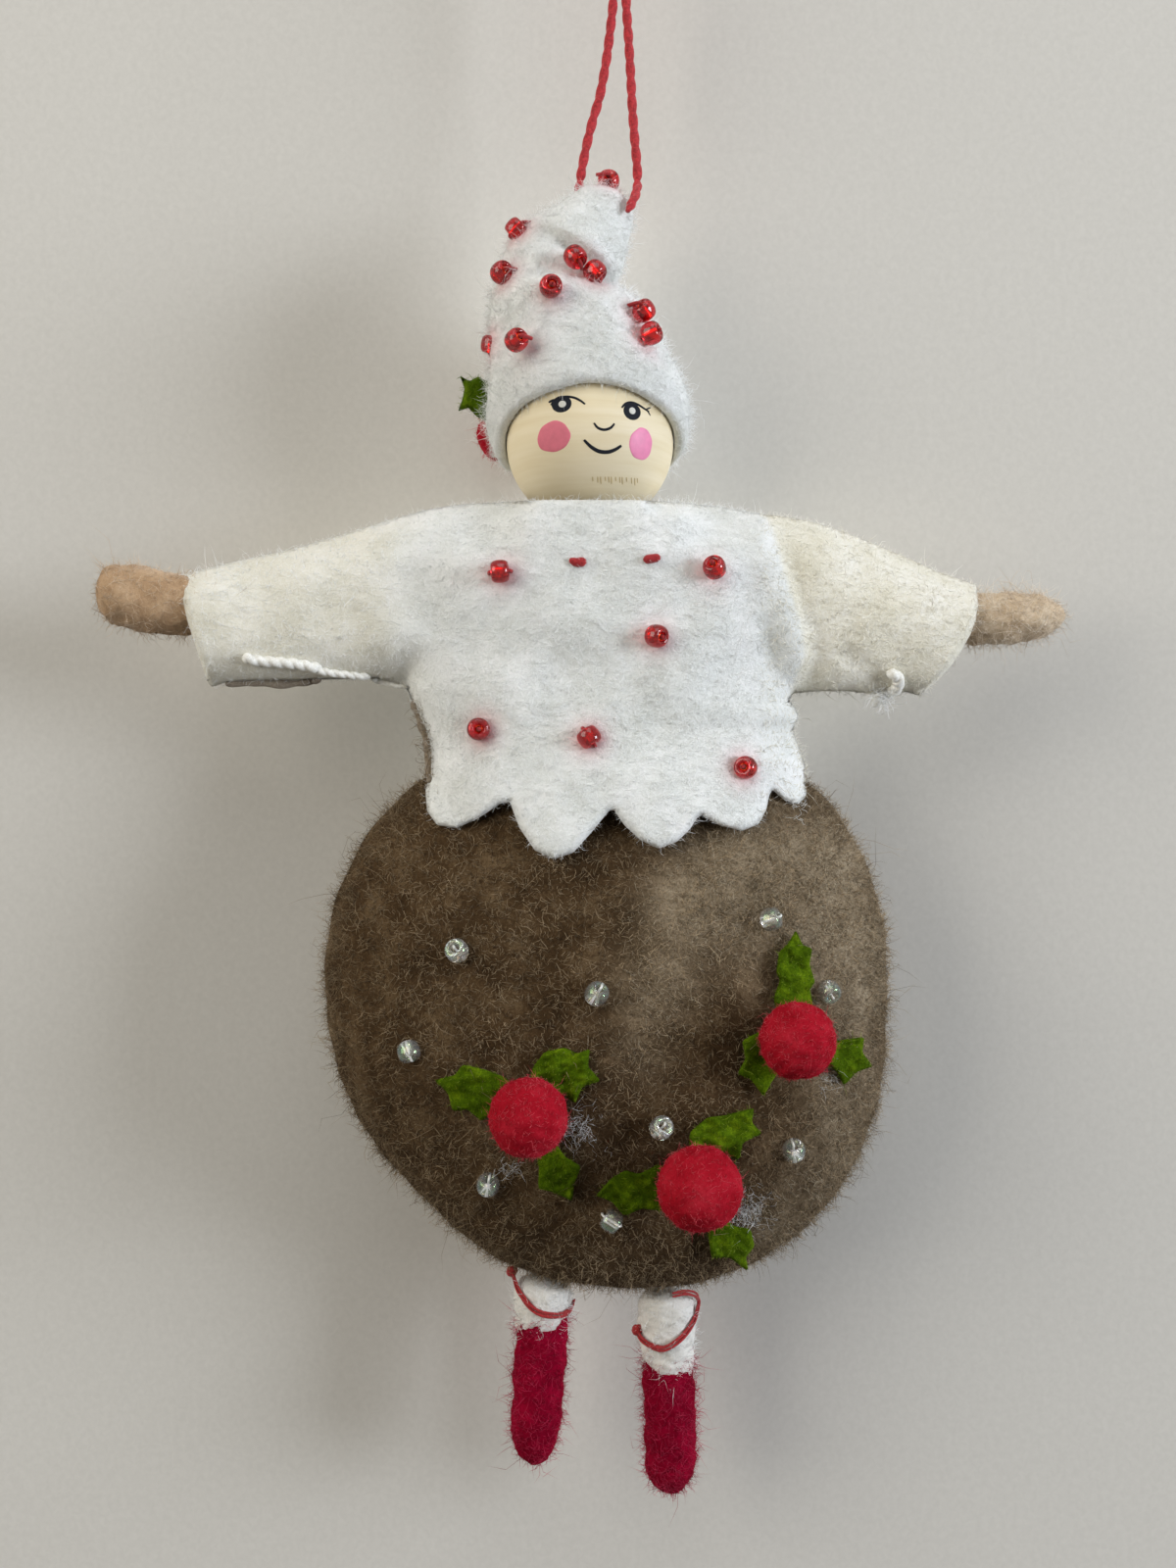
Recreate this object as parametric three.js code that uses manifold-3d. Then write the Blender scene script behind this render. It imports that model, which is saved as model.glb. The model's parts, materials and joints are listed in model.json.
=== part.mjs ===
// A hanging felt pixie: wooden head, wrapped wool hat, felt shirt, a stuffed pudding belly, and arms and legs
// on wires. Millimetres. X is to the viewer's right, the face looks to -Y, Z is up.
// The origin is the top inside of the cord's eye.
import * as THREE from "three";
import { mergeVertices } from "three/addons/utils/BufferGeometryUtils.js";
import Module from "manifold-3d";

const wasm = await Module();
wasm.setup();

// Fits
const fitGap = 0.3; // between pieces that touch
const cutOver = 2; // how far a cutter runs past what it cuts
const weldDistance = 1e-4; // points closer than this are one point
const leastInsideShare = 0.4; // of the fit gap: the half depth that an inner skin keeps at its thin edges

// Wires, hidden in the soft parts
const wireDiameter = 1.2;
const wireGap = 0.3; // between a wire and what it passes through
const wireSides = 8;
const wireSteps = 24;

// Heights, from the hook downwards
const hookToSwing = 51.9; // hook to the place where the cord enters the hat
const hatHeight = 31.2; // centre of the head to the tip of the hat
const tipAboveSwing = 0.06;
const headToShirtTop = 7.2;
const shirtTopToPudding = 61.92; // top of the shirt to the centre of the pudding

// Head
const headDiameter = 20.4;
const headLeft = 2.04; // how far the head sits to the left of the hook
const headBoreDiameter = 3.2;
const headBoreDepth = 9;
const headFlatDiameter = 6;
const headSides = 20;
const headRings = 12;

// Hat
const hatWall = 1.6;
const hatHeightShares = [1, 0.985, 0.946, 0.9, 0.846, 0.731, 0.615, 0.554, 0.412, 0.246, 0.154, 0.008, -0.073];
const hatWidthShares = [0.165, 0.24, 0.315, 0.395, 0.5, 0.58, 0.58, 0.725, 0.885, 0.93, 1.033, 0.99, 0.95];
const hatLeanShares = [
  0.188, 0.18, 0.08, -0.02, -0.14, -0.29, -0.385, -0.27, -0.14, -0.115, -0.015, -0.025, -0.01,
]; // of the hat's radius, to the right
const hatSides = 20;
const faceOpeningWidth = 20.6;
const faceOpeningHeight = 9.6; // from the brim's lower edge up to the top of the opening
const faceOpeningSides = 28;

// Cord
const cordDiameter = 1.2;
const cordSides = 8;
const cordSteps = 48;
const knotWidth = 6.4;
const knotHeight = 5;
const knotDrop = 25.4; // hook to the middle of the knot
const knotRight = 1.6;
const knotEndShare = 0.72; // of its width, at its ends
const knotBandShare = 0.4; // of its height, where it is widest
const knotSides = 12;

// Shirt
const feltWall = 1.2;
const shirtWidth = 47;
const shirtHeight = 43.7; // top of the shoulders to the lowest point of the hem
const shirtSides = 28;
const shirtSquareShare = 0.85; // power of sine and cosine in its section: 1 is an ellipse, less is squarer
const shirtLevelShares = [0, 0.07, 0.13, 0.35, 0.63, 0.79, 0.93, 1];
const chestDepth = 9.6; // middle of the shirt to its front, at the chest
const shirtDepthShares = [0.86, 0.93, 0.97, 1, 1.03, 1.22, 1.39, 1.44];
const shoulderPinchShare = 0.26; // how much of its depth is left to a shoulder at the top
const shoulderFadeShare = 0.2; // of the shirt's height, where the pinch has faded
const neckShares = [0.36, 0.62]; // of half the width: where the pinch begins and is full
const stuffingTopShare = 0.07; // of the shirt's height
const hemShares = [
  [-1.1, 0.775], [-0.93, 0.775], [-0.92, 0.845], [-0.86, 0.905], [-0.78, 0.915], [-0.69, 0.888],
  [-0.56, 0.845], [-0.51, 0.838], [-0.46, 0.9], [-0.38, 0.965], [-0.29, 1], [-0.2, 0.985],
  [-0.09, 0.92], [0.02, 0.865], [0.05, 0.862], [0.1, 0.9], [0.17, 0.945], [0.26, 0.965],
  [0.35, 0.955], [0.42, 0.915], [0.47, 0.882], [0.55, 0.905], [0.63, 0.92], [0.71, 0.905],
  [0.78, 0.855], [0.81, 0.82], [0.86, 0.835], [0.93, 0.828], [0.96, 0.79], [1.1, 0.79],
]; // shares of half the hem's width and of the shirt's height
const hemWidthShare = 0.985; // of the shirt's width

// Sleeves: each runs from the shoulder outwards
const armholeHeight = 21.4;
const leftCuffHeight = 13.7;
const rightCuffHeight = 13.4;
const leftSleeveReach = 50.6; // middle of the shirt to the cuff
const rightSleeveReach = 43.6;
const leftCuffSlant = 2.6; // how much further the cuff reaches at its top than at its bottom
const rightCuffSlant = 6.4;
const sleevePlaceShares = [0, 0.14, 0.3, 0.5, 0.75, 1]; // places along the sleeve where its top is given
const leftSleeveTopDrops = [0.9, 1.6, 2.9, 4.4, 6.6, 8.6]; // shirt's top down to the sleeve's top
const rightSleeveTopDrops = [1.3, 2.4, 3.6, 5.2, 7.6, 9.8];
const sleeveArcStartShare = 0.1; // of half a turn, below the arm's middle, where the round begins
const sleeveArcPoints = 10;
const sleeveFinShares = [[0.72, 0.18], [0, 0.62]]; // width left of the round, and place down to the seam

// Arms
const armDiameter = 5.8; // inside the sleeve
const leftHandDiameter = 7.4;
const rightHandDiameter = 6.2;
const shoulderOut = 21; // middle of the shirt to the arm's pivot
const leftArmDrop = 13.06; // top of the shirt to the arm's axis
const rightArmDrop = 13.8;
const leftArmReach = 62.6; // middle of the shirt to the tip of the hand
const rightArmReach = 56.2;
const armWireShare = 0.8; // of the arm's length
const armSwingDegrees = 40; // up and down
const armSides = 14;
const armSweepSegments = 4;
const armRoundShares = [0.45, 0.62, 0.8, 1]; // places round its inner end, as shares of a quarter turn
const palmShares = [[0.94, 0.7], [1, 0.55]]; // hand's radius; radii past the cuff, then share of the hand
const fingertipShares = [[0.9, 0.45], [0.55, 0.1]]; // of the hand's radius: thickness, distance from the tip

// Pudding
const puddingRadius = 34.4;
const puddingDepth = 14; // middle to front
const puddingRadiusShares = [
  0.99, 1.03, 1.075, 1.04, 0.995, 1.025, 1.052, 1.035, 0.991, 0.972, 0.937, 0.967, 0.996, 1.037, 1.049, 1.01,
]; // clockwise from the top, seen from the front
const puddingSeamWidth = 2.2;
const puddingRingShares = [0, 0.34, 0.62, 0.83, 0.95, 1]; // of its radius
const puddingDomeShares = [1, 0.943, 0.773, 0.52, 0.261, 0]; // of its depth, at those rings
const puddingSides = 28;

// Legs and boots
const legDiameter = 6.6;
const legTopHeight = 2.4; // of the rounded top above the pivot
const legGap = 0.4; // pudding's edge to the leg
const legCoreDiameter = 3.8;
const leftLegOut = 7.92;
const rightLegOut = 7.5;
const leftLegDrop = 2.5; // pivot to the boot
const rightLegDrop = 6.2;
const leftBootDiameter = 6.3;
const rightBootDiameter = 6.6;
const leftBootLength = 17.6;
const rightBootLength = 16.9;
const bootSocketDepth = 9;
const legSides = 16;
const legTopShares = [0.3, 0.55, 0.8, 1]; // places round the leg's top, as shares of a quarter turn
const legCoreEndShares = [0.5, 0.6]; // of the core's radius: height and width of its end
const bootTopShares = [[0.9, 0], [1, 0.4]]; // of the boot's radius: thickness, and distance below its edge
const bootWaistShare = 0.97;
const bootToeShares = [[1, 1], [0.86, 0.45], [0.5, 0.1]]; // thickness, and distance above the toe
const legPivotRounds = 8;
const hipWireRiseShare = 0.45; // of the pudding's radius
const hipWireShares = [[1, 0], [1, 0.5], [0.8, 0.85]]; // of the leg's place out, and of the wire's rise

// Thread wound round the legs
const threadDiameter = 0.8;
const threadPitch = 2.7;
const threadAbovePivot = 0.5;
const threadStepsPerTurn = 24;
const threadSides = 6;

// Beads
const beadDiameter = 3.1;
const beadLength = 2.3;
const beadHoleDiameter = 0.9;
const beadEndShare = 0.82; // of its diameter, at its ends
const beadSides = 8;
const seatStepShare = 1e-3;
const hatMiddleShare = 0.1; // how far the inside point of a bead's seat lies towards the head's centre
const hatBeadShares = {
  hat_bead_1: [0.8, -0.19, 0.1], hat_bead_2: [0.62, -0.15, 0.25], hat_bead_3: [0.512, -0.026, 0],
  hat_bead_4: [0.648, 0.048, 0.12], hat_bead_5: [0.57, 0.1, 0.12], hat_bead_6: [0.455, 0.13, 0.25],
  hat_bead_7: [0.345, 0.128, 0.25], hat_bead_8: [0.315, -0.096, 0.2], hat_bead_9: [0.334, -0.2, 0.25],
}; // share of the hat's height, share of a turn from the front, share of a turn of the bead's own axis
const shirtBeadShares = {
  shirt_bead_1: [-0.534, 0.205, 0.25], shirt_bead_2: [0.5, 0.21, 0.3], shirt_bead_3: [0.241, 0.365, 0.25],
  shirt_bead_4: [-0.637, 0.59, 0], shirt_bead_5: [-0.092, 0.61, 0.25], shirt_bead_6: [0.678, 0.68, 0.2],
}; // share of half the width, share of the shirt's height, share of a turn
const puddingBeadShares = {
  pudding_bead_1: [-0.503, 0.242, 0.25], pudding_bead_2: [-0.037, 0.106, 0.3],
  pudding_bead_3: [0.542, 0.344, 0.2], pudding_bead_4: [0.747, 0.094, 0],
  pudding_bead_5: [-0.668, -0.103, 0.25], pudding_bead_6: [0.176, -0.34, 0.25],
  pudding_bead_7: [0.627, -0.44, 0.1], pudding_bead_8: [-0.403, -0.554, 0.25],
  pudding_bead_9: [0.013, -0.67, 0.4],
}; // shares of the pudding's radius to the right and up, share of a turn

// Berries and leaves
const berryDiameter = 9;
const berrySides = 12;
const berryRings = 8;
const leafThickness = 1;
const leafSpreadShare = 0.18; // of the pudding's radius: a leaf's greatest width
const leafWidthShares = [0.5, 0.62, 0.78, 1, 0.66, 0.8, 0.94, 0.42, 0.08]; // from the berry to the tip
const leafStartShare = 0.4; // of a row's length, where the first row lies
const sprigDiscDiameter = 5;
const sprigShares = {
  1: { place: [-0.262, -0.286], berry: 0.97, turns: [-0.192, 0.164, 0.43], reach: [0.332, 0.275, 0.301] },
  2: { place: [0.621, -0.042], berry: 0.95, turns: [-0.006, -0.4, 0.31], reach: [0.374, 0.225, 0.314] },
  3: { place: [0.297, -0.524], berry: 1.05, turns: [0.117, -0.258, 0.42], reach: [0.288, 0.332, 0.356] },
}; // shares of the pudding's radius; of the berry's diameter; of a turn from up; of the pudding's radius
const hatBerryShares = [0.06, -0.345]; // share of the hat's height and of a turn
const hatBerryDiameter = 7.4;
const hatLeafLength = 8.5;
const hatLeafWidth = 6.5;
const hatLeafTuck = 1.8; // how far its root lies inside the hat's side
const hatLeafRise = 6.1; // centre of the head to the middle of the hat's leaf
const hatLeafBack = 2.4; // how far behind the middle it is sewn

// Places worked out from the sizes above
const headRadius = headDiameter / 2;
const swingZ = -hookToSwing;
const headZ = swingZ + tipAboveSwing - hatHeight;
const shirtTopZ = headZ - headToShirtTop;
const puddingZ = shirtTopZ - shirtTopToPudding;
const hatRadius = headRadius + fitGap + hatWall;
const wireRadius = wireDiameter / 2;
const boreRadius = wireRadius + wireGap;
const quarterTurn = Math.PI / 2;
const fullTurn = 2 * Math.PI;
const up = new THREE.Vector3(0, 0, 1);

const feltWhite = "#dfe0dc";
const stuffingWhite = "#e8e6df";
const cordRed = "#a5262b";
const beadRed = "#9c1c22";
const berryRed = "#a01424";
const puddingBrown = "#5d4630";
const leafGreen = "#3c6a1e";
const wireGrey = "#8c8c88";

const group = new THREE.Group();
group.name = "pixie_ornament";

function toSolid(geometry) {
  const bare = geometry.clone();
  bare.deleteAttribute("normal");
  bare.deleteAttribute("uv");
  const merged = mergeVertices(bare, weldDistance);
  const mesh = new wasm.Mesh({
    numProp: 3,
    vertProperties: merged.attributes.position.array,
    triVerts: new Uint32Array(merged.index.array),
  });
  mesh.merge();
  return new wasm.Manifold(mesh);
}

function toGeometry(solid) {
  const mesh = solid.getMesh();
  const geometry = new THREE.BufferGeometry();
  geometry.setAttribute("position", new THREE.BufferAttribute(mesh.vertProperties, 3));
  geometry.setIndex(new THREE.BufferAttribute(mesh.triVerts, 1));
  return geometry;
}

function addPiece(name, shape, color, roughness, metalness = 0) {
  const geometry = shape.isBufferGeometry ? shape : toGeometry(shape);
  const material = new THREE.MeshStandardMaterial({ color, roughness, metalness });
  const mesh = new THREE.Mesh(geometry, material);
  mesh.name = name;
  group.add(mesh);
  return mesh;
}

function addWire(name, geometry) {
  addPiece(name, geometry, wireGrey, 0.4, 1);
}

// Joins rings of points, each an array of THREE.Vector3, into one closed skin.
function loft(rings) {
  const count = rings[0].length;
  const positions = rings.flat().flatMap((p) => [p.x, p.y, p.z]);
  const index = [];
  for (let r = 0; r < rings.length - 1; r++) {
    for (let k = 0; k < count; k++) {
      const a = r * count + k;
      const b = r * count + ((k + 1) % count);
      index.push(a, b, a + count, b, b + count, a + count);
    }
  }
  for (const [r, flip] of [[0, true], [rings.length - 1, false]]) {
    const middle = rings[r].reduce((sum, p) => sum.add(p), new THREE.Vector3()).divideScalar(count);
    const m = positions.length / 3;
    positions.push(middle.x, middle.y, middle.z);
    for (let k = 0; k < count; k++) {
      const a = r * count + k;
      const b = r * count + ((k + 1) % count);
      index.push(...(flip ? [b, a, m] : [a, b, m]));
    }
  }
  const geometry = new THREE.BufferGeometry();
  geometry.setAttribute("position", new THREE.Float32BufferAttribute(positions, 3));
  geometry.setIndex(index);
  const solid = toSolid(geometry);
  if (solid.volume() > 0) return solid;
  const faces = Array.from({ length: index.length / 3 }, (_, f) => index.slice(3 * f, 3 * f + 3).reverse());
  geometry.setIndex(faces.flat());
  return toSolid(geometry);
}

// Turns a profile of [radius, height] pairs round Z.
function turned(profile, sides) {
  return new THREE.LatheGeometry(profile.map(([r, z]) => new THREE.Vector2(r, z)), sides).rotateX(quarterTurn);
}

function box(width, depth, height) {
  return new THREE.BoxGeometry(width, depth, height);
}

// A round tube along points.
function tube(points, radius, sides, steps) {
  const straight = points.length === 2;
  const curve = straight ? new THREE.LineCurve3(points[0], points[1]) : new THREE.CatmullRomCurve3(points);
  const section = new THREE.Shape();
  for (let k = 0; k < sides; k++) {
    const a = (fullTurn * k) / sides;
    section[k ? "lineTo" : "moveTo"](radius * Math.cos(a), radius * Math.sin(a));
  }
  section.closePath();
  return new THREE.ExtrudeGeometry(section, { steps, extrudePath: curve, bevelEnabled: false });
}

function vector([x, y, z]) {
  return new THREE.Vector3(x, y, z);
}

function interpolate(at, places, values) {
  const rising = places[0] < places[places.length - 1];
  let i = 0;
  while (i < places.length - 2 && (rising ? at > places[i + 1] : at < places[i + 1])) i++;
  const share = (at - places[i]) / (places[i + 1] - places[i]);
  return values[i] + (values[i + 1] - values[i]) * Math.min(Math.max(share, 0), 1);
}

function smooth(from, to, at) {
  const t = Math.min(Math.max((at - from) / (to - from), 0), 1);
  return t * t * (3 - 2 * t);
}

// A place on a surface that is given as a function of two parameters, and the outward direction there.
function seat(surface, u, v, inside) {
  const at = surface(u, v);
  const alongU = surface(u + seatStepShare, v).sub(at);
  const alongV = surface(u, v + seatStepShare).sub(at);
  const out = alongU.cross(alongV).normalize();
  if (out.dot(at.clone().sub(inside)) < 0) out.negate();
  return { at, out };
}

// Pudding: a dome on a slightly uneven round outline.
function puddingEdge(angle) {
  const count = puddingRadiusShares.length;
  const t = ((((angle / fullTurn) * count) % count) + count) % count;
  const i = Math.floor(t);
  const f = t - i;
  const [a, b, c, d] = [-1, 0, 1, 2].map((k) => puddingRadiusShares[(i + k + count) % count]);
  const bend = 2 * b + (c - a) * f + (2 * a - 5 * b + 4 * c - d) * f * f + (3 * b - a - 3 * c + d) * f * f * f;
  return (puddingRadius * bend) / 2;
}

// Bends a turned lens to the pudding's outline.
function outlined(geometry) {
  const p = geometry.getAttribute("position");
  for (let i = 0; i < p.count; i++) {
    const angle = Math.atan2(p.getX(i), p.getZ(i));
    const grow = puddingEdge(angle) / puddingRadius;
    p.setX(i, p.getX(i) * grow);
    p.setZ(i, p.getZ(i) * grow + puddingZ);
  }
  return geometry;
}

// One dome's [radius, depth] pairs from the middle to the edge, which keeps at least the rim's depth.
function puddingDome(radius, depth, rim) {
  return puddingRingShares.map((s, i) => [radius * s, Math.max(depth * puddingDomeShares[i], rim)]);
}

// Both domes together as one solid.
function puddingLens(radius, depth, rim = 0) {
  const back = puddingDome(radius, depth, rim).map(([r, y]) => [r, -y]);
  const front = puddingDome(radius, depth, rim).reverse().slice(rim ? 0 : 1);
  const points = [...back, ...front].map(([r, y]) => new THREE.Vector2(r, y));
  return toSolid(outlined(new THREE.LatheGeometry(points, puddingSides)));
}

function puddingPanel(side) {
  const seam = fitGap / 2;
  const outer = puddingDome(puddingRadius, puddingDepth, seam + feltWall);
  const inner = puddingDome(puddingRadius - puddingSeamWidth, puddingDepth - feltWall, seam).reverse();
  const points = [...outer, ...inner].map(([r, y]) => new THREE.Vector2(r, -y));
  const panel = toSolid(outlined(new THREE.LatheGeometry(points, puddingSides)));
  return side < 0 ? panel : panel.mirror([0, 1, 0]);
}

function puddingFront(xShare, zShare) {
  const x = xShare * puddingRadius;
  const z = zShare * puddingRadius;
  const ring = Math.hypot(x, z) / puddingEdge(Math.atan2(x, z));
  const y = -puddingDepth * interpolate(ring, puddingRingShares, puddingDomeShares);
  return new THREE.Vector3(x, y, puddingZ + z);
}

// Hat: rings that lean and narrow towards the tip.
function hatRing(heightShare) {
  const width = hatRadius * interpolate(heightShare, hatHeightShares, hatWidthShares);
  const lean = hatRadius * interpolate(heightShare, hatHeightShares, hatLeanShares);
  return { width, middle: new THREE.Vector3(lean - headLeft, 0, headZ + heightShare * hatHeight) };
}

function hatSurface(heightShare, turnShare, grow = 0) {
  const { width, middle } = hatRing(heightShare);
  const a = fullTurn * turnShare;
  return new THREE.Vector3(middle.x + (width + grow) * Math.sin(a), -(width + grow) * Math.cos(a), middle.z);
}

function hatSolid(grow) {
  const ring = (h) => Array.from({ length: hatSides }, (_, k) => hatSurface(h, k / hatSides, grow));
  return loft(hatHeightShares.map(ring));
}

function headRoom() {
  const room = new THREE.SphereGeometry(headRadius + fitGap, headSides, headRings);
  return toSolid(room.translate(-headLeft, 0, headZ));
}

function makeHat() {
  const brim = hatHeight * hatHeightShares[hatHeightShares.length - 1];
  const room = headRadius + fitGap;
  const below = turned([[0, -headRadius], [room, -headRadius], [room, 0], [0, 0]], headSides);
  const face = new THREE.CylinderGeometry(1, 1, hatRadius + cutOver, faceOpeningSides)
    .scale(faceOpeningWidth / 2, 1, faceOpeningHeight)
    .translate(-headLeft, -(hatRadius + cutOver) / 2, headZ + brim);
  const hat = hatSolid(0)
    .subtract(headRoom())
    .subtract(toSolid(below.translate(-headLeft, 0, headZ)))
    .subtract(toSolid(face));
  addPiece("hat", hat, feltWhite, 0.95);
}

function makeHead() {
  const flatHeight = Math.sqrt(headRadius ** 2 - (headFlatDiameter / 2) ** 2);
  const profile = [[0, headRadius]];
  const last = Math.PI - Math.asin(headFlatDiameter / headDiameter);
  for (let k = 1; k < headRings; k++) {
    const a = (last * k) / (headRings - 1);
    profile.push([headRadius * Math.sin(a), headRadius * Math.cos(a)]);
  }
  profile.push([headBoreDiameter / 2, -flatHeight]);
  profile.push([headBoreDiameter / 2, headBoreDepth - headRadius]);
  profile.push([0, headBoreDepth - headRadius]);
  const head = turned(profile.reverse(), headSides).translate(-headLeft, 0, headZ);
  addPiece("head", toSolid(head), "#d9c193", 0.5);
}

// The cord's route: up from the hat's left side, through the knot, round the eye and down to the right side.
const cordPoints = [
  [-3.3, 0, -51.4], [-3.0, 0, -49.4], [-2.4, 0, -46.4], [-1.65, 0, -43.4], [-0.84, 0, -40.6], [-0.1, 0, -36.6],
  [0.45, 0, -32.5], [0.8, 0, -29.0], [0.8, 0, -25.4], [0.6, 0, -22.4], [-0.65, 0, -18.4], [-2.65, 0, -13.6],
  [-4.05, 0, -8.6], [-3.95, 0, -3.9], [-2.4, 0, -0.6], [0, 0, 0.6], [2.45, 0, -0.6], [4.35, 0, -3.9],
  [5.05, 0, -8.6], [4.45, 0, -13.6], [3.35, 0, -18.4], [2.6, 0, -22.4], [2.4, 0, -25.4], [2.4, 0, -29.0],
  [2.65, 0, -33.0], [2.95, 0, -38.0], [3.15, 0, -42.0], [3.45, 0, -46.0], [3.75, 0, -49.4], [3.8, 0, -52.2],
].map(vector);

function makeCord() {
  addPiece("hanging_cord", tube(cordPoints, cordDiameter / 2, cordSides, cordSteps), cordRed, 0.9);
  const half = knotHeight / 2;
  const wide = knotWidth / 2;
  const end = wide * knotEndShare;
  const band = half * knotBandShare;
  const profile = [[0, -half], [end, -half], [wide, -band], [wide, band], [end, half], [0, half]];
  const barrel = turned(profile, knotSides);
  const channels = toSolid(tube(cordPoints, cordDiameter / 2 + fitGap, cordSides, cordSteps));
  const knot = toSolid(barrel.translate(knotRight, 0, -knotDrop)).subtract(channels);
  addPiece("cord_knot", knot, cordRed, 0.9);
}

// Shirt: a flattened, stuffed tube. levelShare runs from the top of the shoulders to the hem.
function shirtPoint(turn, levelShare, inset) {
  const half = shirtWidth / 2;
  const side = Math.sin(turn);
  const front = Math.cos(turn);
  const xShare = Math.sign(side) * Math.abs(side) ** shirtSquareShare;
  const fade = 1 - smooth(0, shoulderFadeShare, levelShare);
  const pinched = smooth(neckShares[0], neckShares[1], Math.abs(xShare)) * fade;
  const depth = chestDepth * interpolate(levelShare, shirtLevelShares, shirtDepthShares);
  const round = Math.sign(front) * Math.abs(front) ** shirtSquareShare;
  const y = depth * round * (1 - (1 - shoulderPinchShare) * pinched);
  const kept = Math.sign(y) * Math.max(Math.abs(y) - inset, fitGap * leastInsideShare * Math.abs(front));
  return new THREE.Vector3(xShare * (half - inset), -kept, shirtTopZ - levelShare * shirtHeight);
}

function shirtSolid(inset, overTop, overBottom, from = 0, to = 1) {
  const ring = (level) => {
    return Array.from({ length: shirtSides }, (_, k) => shirtPoint((fullTurn * k) / shirtSides, level, inset));
  };
  const moved = (points, by) => points.map((p) => p.clone().setZ(p.z + by));
  const rings = [from, ...shirtLevelShares.filter((s) => s > from && s < to), to].map(ring);
  if (overTop) rings.unshift(moved(rings[0], overTop));
  if (overBottom) rings.push(moved(rings[rings.length - 1], -overBottom));
  return loft(rings);
}

function shirtFront(xShare, levelShare) {
  const turn = Math.asin(Math.sign(xShare) * Math.abs(xShare) ** (1 / shirtSquareShare));
  return shirtPoint(turn, levelShare, 0);
}

// The wedge that an arm sweeps when it is raised and lowered.
function armSweep(side, drop, grow) {
  const radius = armDiameter / 2 + grow;
  const swing = THREE.MathUtils.degToRad(armSwingDegrees);
  const long = shirtWidth / 2;
  const outline = new THREE.Shape();
  outline.absarc(0, 0, radius, quarterTurn + swing, 3 * quarterTurn - swing, false);
  outline.lineTo(long * Math.cos(swing), -long * Math.sin(swing) - radius);
  outline.lineTo(long * Math.cos(swing), long * Math.sin(swing) + radius);
  outline.closePath();
  const settings = { depth: 2 * radius, bevelEnabled: false, curveSegments: armSweepSegments };
  const wedge = new THREE.ExtrudeGeometry(outline, settings).translate(0, 0, -radius).rotateX(quarterTurn);
  if (side < 0) wedge.rotateZ(Math.PI);
  return toSolid(wedge.translate(side * shoulderOut, 0, shirtTopZ - drop));
}

function wireCut(points) {
  return toSolid(tube(points, boreRadius, wireSides, points.length > 2 ? wireSteps : 1));
}

const bodyWireTop = headZ - headRadius + headBoreDepth - fitGap;
const bodyWirePoints = [[-headLeft, 0, bodyWireTop], [-headLeft, 0, puddingZ]].map(vector);
const shoulderWireHalf = shoulderOut - armDiameter / 2 - fitGap;
const shoulderWireBack = wireDiameter + wireGap + fitGap;
const shoulderWirePoints = [
  [-shoulderWireHalf, 0, shirtTopZ - leftArmDrop],
  [-shoulderWireHalf / 2, shoulderWireBack / 2, shirtTopZ - (3 * leftArmDrop + rightArmDrop) / 4],
  [-headLeft, shoulderWireBack, shirtTopZ - (leftArmDrop + rightArmDrop) / 2],
  [shoulderWireHalf / 2, shoulderWireBack / 2, shirtTopZ - (leftArmDrop + 3 * rightArmDrop) / 4],
  [shoulderWireHalf, 0, shirtTopZ - rightArmDrop],
].map(vector);

function legPivot(side) {
  const out = side < 0 ? leftLegOut : rightLegOut;
  let angle = Math.PI;
  for (let k = 0; k < legPivotRounds; k++) angle = Math.PI - Math.asin((side * out) / puddingEdge(angle));
  const edgeZ = puddingZ + puddingEdge(angle) * Math.cos(angle);
  return { x: side * out, edgeZ, z: edgeZ - legGap - legTopHeight };
}

function hipWirePoints() {
  const rise = puddingRadius * hipWireRiseShare;
  const half = (side) => {
    const { x, edgeZ } = legPivot(side);
    return hipWireShares.map(([out, high]) => [x * out, 0, edgeZ + rise * high]);
  };
  return [...half(-1), [0, 0, legPivot(-1).edgeZ + rise], ...half(1).reverse()].map(vector);
}

// What lies below the scalloped hem.
function hemCut() {
  const half = (shirtWidth / 2) * hemWidthShare;
  const low = shirtTopZ - shirtHeight - cutOver;
  const outline = new THREE.Shape();
  outline.moveTo(-shirtWidth, low);
  outline.lineTo(-shirtWidth, shirtTopZ - hemShares[0][1] * shirtHeight);
  hemShares.forEach(([x, level]) => outline.lineTo(x * half, shirtTopZ - level * shirtHeight));
  outline.lineTo(shirtWidth, shirtTopZ - hemShares[hemShares.length - 1][1] * shirtHeight);
  outline.lineTo(shirtWidth, low);
  outline.closePath();
  const cut = new THREE.ExtrudeGeometry(outline, { depth: shirtWidth, bevelEnabled: false });
  return toSolid(cut.translate(0, 0, -shirtWidth / 2).rotateX(quarterTurn));
}

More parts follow.
